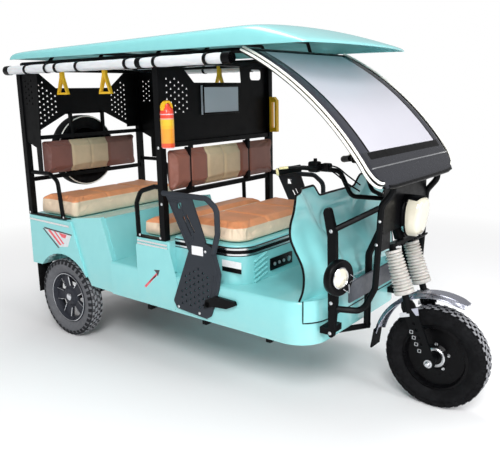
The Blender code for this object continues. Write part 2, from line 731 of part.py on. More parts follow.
def build_frames():
    build_rear_frame()
    build_mid_frame()
    build_roof()
    build_rails_on_seats()
    build_curtains()
    build_fittings()


def post(x, side, low, high):
    y = side * POST_Y
    half = POST / 2
    return box(x - half, x + half, y - half, y + half, low, high)


def cross_bar(x, z, half=0.012):
    reach = POST_Y - POST / 4
    return box(x - half, x + half, -reach, reach, z - half, z + half)


def triangles(places):
    """Small upright triangles about the places, to punch through a plate."""
    size = HOLE_SIZE
    return [[(u - size, v - size * 0.7), (u, v + size), (u + size, v - size * 0.7)] for u, v in places]


def hole_grid(start, columns):
    """Staggered rows of places in columns that follow each other. Each has its lowest row and its count of rows."""
    places = []
    for i, (low, count) in enumerate(columns):
        for row in range(count):
            places.append((start + HOLE_STEP_Y * i, low + HOLE_STEP_Z * (row + i % 2 / 2)))
    return places


def build_rear_frame():
    """Two posts with cross bars, a bow-tie panel between them and a plate ahead of each post."""
    foot = FENDER_TOP_Z + GAP * 2 + FOOT_STRIP
    pieces = [post(REAR_POST_X, side, foot, POST_TOP_Z) for side in (-1, 1)]
    pieces += [cross_bar(REAR_POST_X, z) for z in (BACK_LOW_Z - 0.016, BACK_TOP_Z + 0.016, POST_TOP_Z - 0.014)]
    inner = POST_Y - POST / 4
    high = POST_TOP_Z - 0.020
    edge = inner - 0.098
    panel = [(-inner, high), (-edge, high), (-edge + 0.135, 1.497), (edge - 0.135, 1.497), (edge, high), (inner, high),
             (inner, 1.228), (edge, 1.228), (edge, 1.245), (edge - 0.190, 1.334), (0.190 - edge, 1.334), (-edge, 1.245),
             (-edge, 1.228), (-inner, 1.228)]
    near = hole_grid(edge - 0.126, [(1.352, 4), (1.319, 5), (1.319, 6), (1.286, 8), (1.286, 8)])
    places = near + [(-u, z) for u, z in near]
    x = REAR_POST_X - 0.006
    pieces.append(cut(slab(panel, 0.006, "yz", x), [slab(triangles(places), 0.02, "yz", x)]))
    back = REAR_POST_X + POST / 4
    plate = [(back, high), (back + 0.172, high), (back + 0.150, 1.240), (back + 0.145, 1.0113), (back + 0.105, 1.0113),
             (back + 0.103, 1.150), (back, 1.190)]
    side_places = hole_grid(back + 0.048, [(1.408, 5), (1.408, 4), (1.408, 5)])
    for side in (-1, 1):
        y = side * (POST_Y + 0.008)
        pieces.append(cut(slab(plate, 0.006, "xz", y), [slab(triangles(side_places), 0.02, "xz", y)]))
    for side in (-1, 1):
        y = side * 0.130
        pieces.append(box(REAR_POST_X - 0.009, REAR_POST_X + 0.012, y - 0.009, y + 0.009, SPARE_Z - 0.139, 1.345))
    pieces.append(box(REAR_POST_X - 0.006, REAR_POST_X + 0.003, -0.135, 0.135, SPARE_Z - 0.030, SPARE_Z + 0.030))
    pieces.append(rod((REAR_POST_X, 0, SPARE_Z), (REAR_POST_X - 0.095, 0, SPARE_Z), AXLE_R, 16))
    keep(joined(pieces), "rear_frame", "black_frame_paint", smooth=0)
    front = REAR_POST_X + 0.012 + GAP
    half = POST_Y - 0.088
    back = box(front, front + BACK_THICK, -half, half, BACK_LOW_Z, BACK_TOP_Z, 0.014, 2)
    keep(back, "rear_backrest", "brown_leatherette")


def build_mid_frame():
    """Posts, bars and the panel behind the driver."""
    foot = MID_BOX_TOP_Z + GAP * 2 + FOOT_STRIP
    pieces = [post(MID_POST_X, side, foot, POST_TOP_Z) for side in (-1, 1)]
    pieces += [cross_bar(MID_POST_X, z) for z in (BACK_LOW_Z - 0.016, BACK_TOP_Z + 0.016, POST_TOP_Z - 0.014)]
    inner = POST_Y - POST / 4
    high = POST_TOP_Z - 0.020
    edge = inner - 0.150
    panel = [(-inner, high), (-edge, high), (-0.195, 1.506), (0.205, 1.506), (0.195, high), (inner, high),
             (inner, 1.205), (-inner, 1.205)]
    hole = rounded_flat([(0.285, 1.520), (0.395, 1.520), (0.395, 1.580), (0.285, 1.580)], 0.020)
    places = hole_grid(-inner + 0.055, [(1.362, 6), (1.362, 5), (1.362, 6), (1.362, 5), (1.362, 5), (1.362, 4)])
    plate = slab(panel, 0.006, "yz", MID_POST_X - 0.006)
    pieces.append(cut(plate, [slab(triangles(places) + [hole], 0.05, "yz", MID_POST_X)]))
    for side in (-1, 1):
        y = side * 0.245
        pieces.append(box(MID_POST_X - 0.009, MID_POST_X + 0.012, y - 0.009, y + 0.009, BACK_LOW_Z - 0.014, 1.21))
    keep(joined(pieces), "mid_frame", "black_frame_paint", smooth=0)
    front = MID_POST_X + 0.012 + GAP
    half = POST_Y - POST / 2 - 0.005
    back = box(front, front + BACK_THICK, -half, half, BACK_LOW_Z, BACK_TOP_Z, 0.014, 2)
    keep(back, "mid_backrest", "brown_leatherette")
    face = MID_POST_X - 0.003 + GAP
    frame = box(face, face + 0.014, -0.145, 0.165, 1.340, 1.492)
    keep(frame, "picture_frame", "print_card", smooth=0)


# the roof from the side: x and height of its middle
ROOF_LINE = ((ROOF_REAR_X, 1.664), (-1.322, 1.700), (-1.285, 1.711), (-0.700, 1.722), (-0.130, 1.732),
             (ROOF_BREAK_X, ROOF_TOP_Z), (0.600, 1.704), (0.735, 1.668), (ROOF_FRONT_X, 1.652))
# across the roof: y and how far the height has dropped to the rim
ROOF_SPAN = ((-ROOF_HALF, 1.0), (-0.474, 0.25), (-0.438, 0.03), (-0.220, -0.10), (0.0, -0.14),
             (0.220, -0.10), (0.438, 0.03), (0.474, 0.25), (ROOF_HALF, 1.0))


def roof_z(x):
    """Height of the roof's upper face along the middle, before its crown."""
    for (x0, z0), (x1, z1) in zip(ROOF_LINE, ROOF_LINE[1:]):
        if x <= x1:
            return z0 + (z1 - z0) * (x - x0) / (x1 - x0)
    return ROOF_LINE[-1][1]


def roof_rim_z(x):
    share = (x - ROOF_REAR_X) / (ROOF_FRONT_X - ROOF_REAR_X)
    return 1.662 - 0.018 * share


def build_roof():
    def place(u, v):
        y, drop = ROOF_SPAN[round((1 - u) * (len(ROOF_SPAN) - 1))]
        x, top = ROOF_LINE[round(v * (len(ROOF_LINE) - 1))]
        rim = roof_rim_z(x)
        ahead = max(0.0, x - ROOF_BREAK_X) / (ROOF_FRONT_X - ROOF_BREAK_X)
        tuck = 0.055 * ahead * abs(y / ROOF_HALF) ** 3
        return (x - tuck, y, max(top + (rim - top) * drop, rim))

    shell = sheet(place, len(ROOF_SPAN) - 1, len(ROOF_LINE) - 1, ROOF_SKIN)
    keep(shell, "roof_shell", "aqua_body_plastic", smooth=50)
    rail_front = SCREEN_TOP[0] - 2 * TUBE_R - GAP
    corner = 0.05
    loop = [(-1.300, -RAIL_Y, RAIL_Z), (rail_front, -RAIL_Y, RAIL_Z), (rail_front, RAIL_Y, RAIL_Z), (-1.300, RAIL_Y, RAIL_Z)]
    pieces = [tube(loop, TUBE_R, corner, 3, closed=True)]
    for x in (-1.000, -0.560, MID_POST_X, 0.180):
        top = roof_z(x) - ROOF_SKIN - BOW_R - GAP * 3
        bow = [(x, -RAIL_Y, RAIL_Z), (x, -0.405, top), (x, 0.405, top), (x, RAIL_Y, RAIL_Z)]
        pieces.append(tube(bow, BOW_R, 0.02, 2))
    keep(joined(pieces), "roof_frame", "black_frame_paint")


def build_rails_on_seats():
    """Bent armrests by both benches on their foot strips."""
    y = -POST_Y
    # name: post x, direction, path of (ahead of the post, height), foot length, foot height
    rests = {
        "rear_armrest": (REAR_POST_X, 1, [(0.0, 0.998), (0.205, 0.998), (0.275, 0.958), (0.300, 0.0)], 0.350, FENDER_TOP_Z),
        "mid_armrest": (MID_POST_X, -1, [(0.0, 0.990), (0.060, 0.990), (0.165, 0.958), (0.200, 0.895), (0.196, 0.0)], 0.196, MID_BOX_TOP_Z),
    }
    for name, (x, way, path, foot, low) in rests.items():
        start = x + way * (POST / 2 + GAP)
        points = [(start, y, path[0][1])] + [(x + way * ahead, y, z or low + FOOT_STRIP / 2) for ahead, z in path[1:]]
        bar = tube(points, TUBE_R, 0.05, 4)
        ends = sorted((x - way * POST / 2, x + way * foot))
        strip = box(ends[0], ends[1], y - POST / 2, y + POST / 2, low + GAP, low + GAP + FOOT_STRIP)
        both_sides(joined([bar, strip]), name, "black_frame_paint")


def build_curtains():
    """Rolled side curtains under the roof's edge, held by straps."""
    radius = 0.027
    y = -(POST_Y + POST / 2 + GAP + radius)
    z = 1.600
    roll = rod((-1.352, y, z), (0.372, y, z), radius, 12)
    both_sides(roll, "curtain_roll", "curtain_vinyl")


def build_fittings():
    """Grab rails with hanging handles, the extinguisher and the pillar handle."""
    z = POST_TOP_Z - 0.014
    # side: across, the handles along the rail
    rails = {"right": (-1, (-0.985, -0.610)), "left": (1, (-0.985, -0.450))}
    for word, (side, places) in rails.items():
        y = side * (POST_Y - 0.075)
        pieces = [tube([(REAR_POST_X + 0.012 + GAP, y, z), (MID_POST_X - 0.012 - GAP, y, z)], 0.008)]
        for x in places:
            outer = [(x - 0.010, z), (x + 0.010, z), (x + 0.014, z - 0.050), (x + 0.050, z - 0.150), (x - 0.050, z - 0.150),
                     (x - 0.014, z - 0.050)]
            inner = [(x, z - 0.062), (x + 0.034, z - 0.138), (x - 0.034, z - 0.138)]
            pieces.append(slab([outer, inner], 0.018, "xz", y))
        keep(joined(pieces), "grab_rail_" + word, "yellow_plastic")
    radius = 0.034
    x = MID_POST_X + POST / 2 + GAP + radius
    keep(rod((x, -POST_Y, 1.190), (x, -POST_Y, 1.420), radius, 16), "extinguisher", "red_paint")
    x = MID_POST_X + POST / 2 + GAP
    grip = slab([(x, 1.215), (x + 0.050, 1.215), (x + 0.050, 1.400), (x + 0.030, 1.422), (x, 1.422)], 0.026, "xz", POST_Y)
    hole = slab([(x + 0.014, 1.240), (x + 0.036, 1.240), (x + 0.036, 1.390), (x + 0.014, 1.390)], 0.06, "xz", POST_Y)
    keep(cut(grip, [hole]), "pillar_handle", "yellow_plastic", smooth=0)


def build_front():
    build_chassis()
    build_shield()
    build_screen()
    build_front_guards()
    build_rear_end()


def beam(x0, x1, y, z, size):
    return box(x0, x1, y - size / 2, y + size / 2, z - size / 2, z + size / 2)


def build_chassis():
    """Trussed ladder frame under the floor, with the neck that carries the head tube."""
    upper = FLOOR_Z - FLOOR_SHEET - GAP - 0.013
    low = RAIL_LOW_Z
    rail_front = 0.700
    pieces = []
    for side in (-1, 1):
        y = side * RAIL_HALF
        pieces.append(beam(RAIL_REAR_X, rail_front, y, low, RAIL_SIZE))
        pieces.append(beam(FLOOR_REAR_X + 0.020, rail_front, y, upper, 0.026))
        for x in (-0.500, -0.100, 0.300, 0.680):
            pieces.append(box(x - 0.012, x + 0.012, y - 0.012, y + 0.012, low, upper))
        for x in (REAR_AXLE_X - 0.272, REAR_AXLE_X + 0.272):
            pieces.append(box(x - 0.015, x + 0.015, side * (RAIL_HALF + 0.010), side * (SPRING_Y - SPRING_WIDTH / 2 - GAP),
                              low - 0.010, low + 0.030))
        pieces.append(rod((rail_front - 0.060, y, low), (NECK_X, side * 0.012, low - 0.001), NECK_R * 0.8, 10))
    for x in (-1.255, -0.700, -0.300, 0.100, 0.500):
        reach = 0.440 if x > FLOOR_REAR_X else RAIL_HALF
        pieces.append(box(x - 0.013, x + 0.013, -reach, reach, low - 0.013, low + 0.013))
    neck = [(NECK_X, 0, low - 0.012), (NECK_X, 0, 0.680), (NECK_X + 0.060, 0, 0.812),
            (steer_x(0.870) - HEAD_TUBE_R * 0.4, 0, 0.870)]
    pieces.append(tube(neck, NECK_R, 0.05, 3))
    pieces.append(box(steer_x(0.890) + HEAD_TUBE_R * 0.7, HEADLAMP_X - 0.040 - GAP, -0.016, 0.016, 0.876, 0.904))
    head = rod(along_fork(CROWN_Z + 0.013, 0), along_fork(STEM_TOP_Z - 0.004, 0), HEAD_TUBE_R, 20)
    pieces.append(head)
    frame = joined(pieces)
    bore = rod(along_fork(CROWN_Z - 0.05, 0), along_fork(STEM_TOP_Z + 0.05, 0), STEM_R + PIN_GAP, 20)
    keep(cut(frame, [bore]), "chassis_frame", "black_frame_paint")


# the leg shield's side edge: x and height
SHIELD_LINE = ((0.682, FLOOR_Z + GAP), (0.700, 0.590), (0.706, 0.650), (0.696, 0.706), (0.664, 0.766), (0.636, 0.834),
               (0.636, 0.906), (0.654, 0.980), (0.664, 1.062))


# its columns, as shares of the half width
SHIELD_COLUMNS = (-1.0, -0.90, -0.76, -0.65, -0.58, -0.52, -0.43, -0.25, 0.0, 0.25, 0.43, 0.52, 0.58, 0.65, 0.76, 0.90, 1.0)


def build_shield():
    """Panel in front of the driver's legs, notched at the top for the steering."""
    low, high = FLOOR_Z + GAP, SHIELD_TOP_Z

    def place(u, v):
        y = SHIELD_HALF * SHIELD_COLUMNS[round(u * (len(SHIELD_COLUMNS) - 1))]
        x, z = SHIELD_LINE[round(v * (len(SHIELD_LINE) - 1))]
        side = 1 - (y / SHIELD_HALF) ** 2
        rise = (z - low) / (high - low)
        notch = min(1.0, max(0.0, (0.290 - abs(y)) / 0.095))
        z -= notch * max(0.0, rise - 0.4) / 0.6 * (SHIELD_TOP_Z - SHIELD_NOTCH_Z)
        return (x + 0.050 * side * (1 - rise) - 0.050 * side * rise, y, z)

    panel = sheet(place, len(SHIELD_COLUMNS) - 1, len(SHIELD_LINE) - 1, SKIN)
    keep(panel, "leg_shield", "aqua_body_plastic", smooth=50)


def build_screen():
    line = arc_through(SCREEN_TOP, SCREEN_MID, SCREEN_LOW, 12)
    side = [Vector((x, -SCREEN_HALF, z)) for x, z in line if z > SCREEN_LOW[1] + SCREEN_CORNER_R]
    low = Vector((SCREEN_LOW[0], -SCREEN_HALF, SCREEN_LOW[1]))
    corner = rounded([side[-1], low, (low.x, 0, low.z)], SCREEN_CORNER_R, 5)[1:-1]
    half = side + corner
    path = half + [Vector((p.x, -p.y, p.z)) for p in reversed(half)]
    top = tube([half[0], (half[0].x, -half[0].y, half[0].z)], TUBE_R)
    keep(joined([tube(path, TUBE_R), top]), "windscreen_frame", "black_frame_paint")
    inner = SCREEN_HALF - TUBE_R - GAP
    # the pane stands a little proud and turns back to the side tubes, from under the top bar to the nose
    pane = [Vector(line[0]).lerp(Vector(line[1]), 0.55)] + [Vector(p) for p in line[1:] if p[1] > NOSE_TOP_Z]
    count = len(pane) - 1
    runs = [(pane[min(i + 1, count)] - pane[max(i - 1, 0)]).normalized() for i in range(count + 1)]
    section = [(-inner + 0.0036, 0.001), (-inner + 0.006, 0.008), (-inner + 0.013, SCREEN_RISE)]
    section += [(-y, rise) for y, rise in section[::-1]]

    def place(u, v):
        i = round(v * count)
        y, rise = section[round(u * (len(section) - 1))]
        across = Vector((-runs[i].y, runs[i].x)) * rise
        return (pane[i].x + across.x, y, pane[i].y + across.y)

    keep(sheet(place, len(section) - 1, count, 0.004), "windscreen_glass", "white_glass")
    foot = pane[-1] + runs[-1] * GAP * 2
    lip = foot + Vector((-runs[-1].y, runs[-1].x)) * (SCREEN_RISE + 0.004)
    low_z = SCREEN_LOW[1] - 0.060
    nose = [tuple(foot), tuple(lip), (1.050, 1.092), (1.057, 1.060), (1.047, 1.057), (1.034, 1.101), (0.995, 1.101)]
    panel = slab(nose, inner * 2, "xz", 0)
    for side in (-1, 1):
        rim = [(-side * p.y, p.z) for p in corner]
        out = side * (SCREEN_HALF + 0.05)
        outside = rim + [(rim[-1][0], low_z), (out, low_z), (out, rim[0][1] + 0.02), (rim[0][0], rim[0][1] + 0.02)]
        panel = cut(panel, [slab(outside, 0.3, "yz", SCREEN_LOW[0])])
    panel = cut(panel, [tube(path, TUBE_R + GAP * 3)])
    keep(panel, "nose_panel", "black_frame_paint", smooth=0)


def build_front_guards():
    """Posts under the nose, the lamp strips and the bars between them."""
    y = -GUARD_Y
    x, z = SCREEN_LOW
    tube_path = [(x, y, z - TUBE_R - GAP), (x, y, z - TUBE_R - 0.040), (0.966, y, 0.970), (0.948, y, 0.600), (0.905, y - 0.030, 0.492), (0.822, -STRIP_Y + 0.012, 0.520)]
    hoop = tube(tube_path, 0.015, 0.05, 4)
    strip = [(0.800, 0.385), (0.824, 0.385), (0.838, 0.550), (0.830, 0.860), (0.800, 0.965), (0.776, 0.968),
             (0.768, 0.945), (0.790, 0.840), (0.796, 0.550)]
    plate = slab(rounded_flat(strip, 0.012, 2), 0.024, "xz", -STRIP_Y + 0.012)
    bar = tube([(0.806, -STRIP_Y + 0.010, 0.868), (0.957, y, 0.960)], 0.013)
    foot = box(FLOOR_FRONT_X + GAP, 0.812, -STRIP_Y + 0.002, -0.300, 0.395, 0.425)
    right = joined([hoop, plate, bar, foot])
    both_sides(right, "front_guard", "black_frame_paint")
    pod = turned([(0.040, 0.034), (0.062, 0.030), (LAMP_R, 0.010), (LAMP_R, -0.030), (0.0005, -0.030), (0.0005, 0.034)], 20)
    pod.data.transform(Matrix.Rotation(-math.pi / 2, 4, "Z"))
    both_sides(moved(pod, 0.8675, -STRIP_Y, LAMP_Z - 0.010), "lamp_pod", "black_frame_paint")
    cover_x = NECK_X + NECK_R + GAP
    cover = box(cover_x, cover_x + 0.012, -0.240, 0.240, 0.500, 0.600, 0.003)
    keep(cover, "front_box", "grey_plate_paint", smooth=0)
    shell = turned([(0.030, 0.055), (0.060, 0.045), (0.078, 0.010), (0.080, -0.010), (0.045, -0.035), (0.0005, -0.040),
                    (0.0005, 0.055)], 24)
    shell.data.transform(Matrix.Diagonal((1, 1, 1.25, 1)) @ Matrix.Rotation(-math.pi / 2, 4, "Z"))
    keep(moved(shell, HEADLAMP_X, 0, 0.890), "headlamp", "lamp_lens")


def build_rear_end():
    """What stands behind the rear frame, and the side guards."""
    reach = FRONT_AXLE_X + TYRE_R
    middle = -(reach - TYRE_W / 2 - 0.001)
    spare = turned(spare_profile(), TYRE_STEPS)
    spare.data.transform(Matrix.Translation((middle, 0, SPARE_Z)) @ Matrix.Rotation(math.pi / 2, 4, "Z"))
    keep(spare, "spare_wheel", "tyre_rubber")
    start = RAIL_REAR_X - GAP
    back = -reach + 0.015
    bumper = tube([(start, -RAIL_HALF, RAIL_LOW_Z), (start - 0.02, -RAIL_HALF, RAIL_LOW_Z), (back, -RAIL_HALF, 0.360),
                   (back, RAIL_HALF, 0.360), (start - 0.02, RAIL_HALF, RAIL_LOW_Z), (start, RAIL_HALF, RAIL_LOW_Z)],
                  0.015, 0.04, 3)
    keep(bumper, "tail_bar", "black_frame_paint")
    lamps = [box(REAR_X - 0.012, REAR_X - GAP, -0.400, 0.400, 0.610, 0.640)]
    for side in (-1, 1):
        lamps.append(box(REAR_X - 0.036, REAR_X - GAP, side * 0.430, side * 0.330, 0.575, 0.675, 0.006))
    keep(joined(lamps), "tail_lamps", "red_paint", smooth=0)
    build_side_guards()


def build_side_guards():
    """Hourglass plate under a tube loop, beside the driver."""
    y = -(BODY_HALF + GAP + 0.005)
    lower = [(0.060, 0.700), (-0.060, 0.415), (-0.038, 0.378), (0.162, 0.360), (0.190, 0.378), (0.245, 0.525),
             (0.259, 0.603), (0.222, 0.720), (0.165, 0.745)]
    upper = [(-0.085, 0.962), (0.085, 0.962), (0.170, 0.750), (0.105, 0.690), (0.055, 0.695)]
    places = hole_grid(0.002, [(0.412, 3), (0.412, 5), (0.412, 6), (0.412, 6), (0.412, 7), (0.412, 6), (0.445, 5)])
    slots = [[(-0.010, 0.900), (0.020, 0.900), (0.020, 0.930), (-0.010, 0.930)],
             [(0.024, 0.860), (0.034, 0.866), (0.088, 0.776), (0.078, 0.770)],
             [(0.046, 0.872), (0.054, 0.877), (0.104, 0.792), (0.096, 0.787)]]
    plate = joined([slab(rounded_flat(lower, 0.012, 2), 0.010, "xz", y), slab(upper, 0.009, "xz", y)])
    plate = cut(plate, [slab(triangles(places) + slots, 0.030, "xz", y)])
    z = 0.966
    loop = tube([(MID_POST_X + POST / 2 + GAP, y + 0.006, z), (0.180, y, z), (0.243, y, z - 0.045), (0.245, y, 0.800),
                 (0.215, y, 0.700)], 0.014, 0.05, 4)
    both_sides(joined([plate, loop]), "side_guard", "grey_plate_paint")


main()
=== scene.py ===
"""Looks of the electric rickshaw: paint, rubber, seats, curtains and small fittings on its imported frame.

Metres, +X forward, +Y left, +Z up. The right-hand side is the one towards the camera.
"""

import math

import bmesh
import bpy
from mathutils import Matrix, Vector, noise


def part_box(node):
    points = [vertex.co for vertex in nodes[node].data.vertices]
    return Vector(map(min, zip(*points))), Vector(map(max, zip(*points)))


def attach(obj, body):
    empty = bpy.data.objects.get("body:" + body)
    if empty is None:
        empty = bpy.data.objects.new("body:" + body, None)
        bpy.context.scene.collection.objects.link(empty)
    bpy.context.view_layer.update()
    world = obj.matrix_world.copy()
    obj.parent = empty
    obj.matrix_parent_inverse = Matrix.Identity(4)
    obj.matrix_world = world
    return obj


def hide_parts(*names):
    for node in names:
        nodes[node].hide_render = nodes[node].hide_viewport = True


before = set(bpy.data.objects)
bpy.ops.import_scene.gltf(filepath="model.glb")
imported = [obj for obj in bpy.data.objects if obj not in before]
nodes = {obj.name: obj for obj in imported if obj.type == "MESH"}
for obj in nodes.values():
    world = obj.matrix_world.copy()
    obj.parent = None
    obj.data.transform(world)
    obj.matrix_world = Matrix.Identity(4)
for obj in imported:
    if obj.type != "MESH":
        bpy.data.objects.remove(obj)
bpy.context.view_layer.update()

# Places repeated from the solids
FRONT_AXLE = Vector((1.150, 0.0, 0.240))
REAR_AXLE = Vector((-1.000, 0.0, 0.240))
REAR_WHEEL_Y = 0.427
TYRE_R = 0.240
TYRE_HALF = 0.0465
BEAD_R = 0.158
RAKE = math.radians(18.3)
FORK_OFFSET = 0.025
FORK_HALF = 0.100
BODY_HALF = 0.480
POST_Y = 0.460
STRIP_Y = 0.400
FLOOR_Z = 0.541
FLOOR_REAR_X = -0.552
FLOOR_FRONT_X = 0.755
FLOOR_CORNER_R = 0.150
BASE_REAR_X = -0.0897
BASE_FRONT_X = 0.350
BASE_HALF = 0.430
BASE_TOP_Z = 0.738
BASE_CORNER_R = 0.110
SHIELD_HALF = 0.450
SHIELD_TOP_Z = 1.062
# the windscreen's side tubes follow this circle, angles in degrees
SCREEN_X = -0.2046
SCREEN_Z = 0.3079
SCREEN_R = 1.4478
SCREEN_TOP = 64.2
SCREEN_FOOT = 37.9
SCREEN_HALF = 0.440
SCREEN_CORNER_R = 0.070
SCREEN_LOW = (1.017, 1.085)
PANE_RISE = 0.017
CLEAR_HALF = 0.345    # the clear glass inside its painted border
CLEAR_LOW_Z = 1.187


# Small tools

def srgb(code):
    """A linear colour from an sRGB hex code."""
    parts = [int(code[i:i + 2], 16) / 255 for i in (0, 2, 4)]
    return (*[c / 12.92 if c <= 0.04045 else ((c + 0.055) / 1.055) ** 2.4 for c in parts], 1.0)


def add(tree, kind, values=None, output=0):
    """One node of a material, of which one output is given back.

    Names in small letters are its settings. Numbers and names in capitals are its sockets, with a value,
    a colour code or the output that feeds them.
    """
    made = tree.nodes.new(kind)
    for key, value in (values or {}).items():
        if isinstance(key, str) and key[0].islower():
            setattr(made, key, value)
        elif isinstance(value, bpy.types.NodeSocket):
            tree.links.new(value, made.inputs[key])
        else:
            made.inputs[key].default_value = srgb(value) if isinstance(value, str) else value
    return made.outputs[output]


def finish(name, colour, roughness, metallic=0.0, **more):
    """A material with its plain values set, its tree, and the Object coordinates its patterns read."""
    made = bpy.data.materials.new(name)
    made.use_nodes = True
    tree = made.node_tree
    shader = tree.nodes["Principled BSDF"]
    shader.inputs["Base Color"].default_value = srgb(colour)
    shader.inputs["Roughness"].default_value = roughness
    shader.inputs["Metallic"].default_value = metallic
    for key, value in more.items():
        shader.inputs[key.replace("_", " ").title().replace("Ior", "IOR")].default_value = value
    return made, tree, add(tree, "ShaderNodeTexCoord", output="Object")


def dress(made, sources):
    """Feed the shader of a material from its patterns."""
    shader = made.node_tree.nodes["Principled BSDF"]
    for socket, source in sources.items():
        made.node_tree.links.new(source, shader.inputs[socket])
    return made


def steer_x(z):
    return FRONT_AXLE.x - FORK_OFFSET - (z - TYRE_R) * math.tan(RAKE)


def along_fork(z, y=0.0):
    return Vector((steer_x(z), y, z))


# Shapes

def block(bm, low, high, round_off=0.0, segments=2):
    """A box between two corners with its edges rounded."""
    low, high = Vector(low), Vector(high)
    size = high - low
    turn = Matrix.Translation((low + high) / 2) @ Matrix.Diagonal((*size, 1))
    made = bmesh.ops.create_cube(bm, size=1, matrix=turn)["verts"]
    if round_off:
        edges = list({e for v in made for e in v.link_edges})
        made = bmesh.ops.bevel(bm, geom=edges, offset=round_off, segments=segments, profile=0.5,
                               affect="EDGES", material=-1, clamp_overlap=True)["verts"]
    return made


def rod(bm, start, end, radius, end_radius=None, sides=16):
    """A capped round bar or cone between two points."""
    start, end = Vector(start), Vector(end)
    run = end - start
    turn = Matrix.Translation((start + end) / 2) @ run.to_track_quat("Z", "Y").to_matrix().to_4x4()
    radius_end = radius if end_radius is None else end_radius
    return bmesh.ops.create_cone(bm, cap_ends=True, segments=sides, radius1=radius, radius2=radius_end,
                                 depth=run.length, matrix=turn)["verts"]


def bent(points, radius, steps=5):
    """A path with its inner corners turned into arcs."""
    points = [Vector(p) for p in points]
    path = [points[0]]
    for before, corner, after in zip(points, points[1:], points[2:]):
        reach = min(radius, (before - corner).length * 0.45, (after - corner).length * 0.45)
        start = corner + (before - corner).normalized() * reach
        end = corner + (after - corner).normalized() * reach
        for step in range(steps + 1):
            t = step / steps
            path.append(start * (1 - t) ** 2 + corner * 2 * t * (1 - t) + end * t * t)
    path.append(points[-1])
    return path


def sweep(bm, path, radius, sides=12, flat=1.0):
    """A round or flattened bar swept along a path and capped."""
    path = [Vector(p) for p in path]
    ring = None
    before = None
    for i, point in enumerate(path):
        ahead = path[min(i + 1, len(path) - 1)] - path[max(i - 1, 0)]
        if ahead.length < 1e-9:
            continue
        if ring is None:
            turn = ahead.to_track_quat("Z", "Y")
            place = Matrix.Translation(point) @ turn.to_matrix().to_4x4() @ Matrix.Diagonal((1, flat, 1, 1))
            verts = bmesh.ops.create_circle(bm, cap_ends=False, segments=sides, radius=radius,
                                            matrix=place)["verts"]
            bmesh.ops.contextual_create(bm, geom=verts)
            ring = list({e for v in verts for e in v.link_edges})
        else:
            grown = bmesh.ops.extrude_edge_only(bm, edges=ring)["geom"]
            verts = [g for g in grown if isinstance(g, bmesh.types.BMVert)]
            moved = set(verts)
            ring = [g for g in grown if isinstance(g, bmesh.types.BMEdge)
                    and all(v in moved for v in g.verts)]
            bend = before[1].rotation_difference(ahead)
            for vert in verts:
                vert.co = point + bend @ (vert.co - before[0])
        before = (point.copy(), ahead.copy())
    bmesh.ops.contextual_create(bm, geom=verts)


def lathe(bm, profile, centre, axis="Y", steps=48):
    """A (radius, along) profile spun about an axis through the centre."""
    centre = Vector(centre)
    along = {"X": Vector((1, 0, 0)), "Y": Vector((0, 1, 0)), "Z": Vector((0, 0, 1))}[axis] \
        if isinstance(axis, str) else Vector(axis).normalized()
    out = along.orthogonal().normalized()
    verts = [bm.verts.new(centre + out * radius + along * height) for radius, height in profile]
    edges = [bm.edges.new(pair) for pair in zip(verts, verts[1:])]
    bmesh.ops.spin(bm, geom=verts + edges, cent=centre, axis=along, angle=math.tau, steps=steps,
                   use_merge=True, use_duplicate=False)


def plate(bm, outline, thickness, plane="xz", at=0.0):
    """A flat outline given a thickness, centred on its plane's place."""
    lift = {"xz": lambda u, v, w: (u, w, v),
            "xy": lambda u, v, w: (u, v, w),
            "yz": lambda u, v, w: (w, u, v)}[plane]
    low = [bm.verts.new(lift(u, v, at - thickness / 2)) for u, v in outline]
    face = bm.faces.new(low)
    grown = bmesh.ops.extrude_face_region(bm, geom=[face])["geom"]
    verts = [g for g in grown if isinstance(g, bmesh.types.BMVert)]
    bmesh.ops.translate(bm, verts=verts, vec=Vector(lift(0, 0, thickness)))
    return low + verts


def through(points, steps=6):
    """A smooth path through the points."""
    points = [Vector(p) for p in points]
    padded = [points[0] * 2 - points[1], *points, points[-1] * 2 - points[-2]]
    path = []
    for a, b, c, d in zip(padded, padded[1:], padded[2:], padded[3:]):
        for step in range(steps):
            t = step / steps
            path.append(0.5 * (2 * b + (c - a) * t + (2 * a - 5 * b + 4 * c - d) * t * t
                               + (3 * b - a - 3 * c + d) * t ** 3))
    path.append(points[-1])
    return path


def at_share(path, share):
    """The place at a share of a path's points."""
    place = share * (len(path) - 1)
    i = min(int(place), len(path) - 2)
    return path[i].lerp(path[i + 1], place - i)


def ease(value):
    """0 below 0, 1 above 1 and a smooth step between."""
    value = min(1.0, max(0.0, value))
    return value * value * (3 - 2 * value)


def skin(bm, across, along, place, thickness, out):
    """A smooth sheet through place(u, v), u and v from 0 to 1, with its thickness behind its outer face."""
    verts = bmesh.ops.create_grid(bm, x_segments=across, y_segments=along, size=1)["verts"]
    for vert in verts:
        vert.co = Vector(place((vert.co.x + 1) / 2, (vert.co.y + 1) / 2))
    faces = list({f for v in verts for f in v.link_faces})
    for face in faces:
        face.normal_update()
    if sum(face.normal.dot(Vector(out)) for face in faces) < 0:
        bmesh.ops.reverse_faces(bm, faces=faces)
    bmesh.ops.solidify(bm, geom=faces, thickness=thickness)


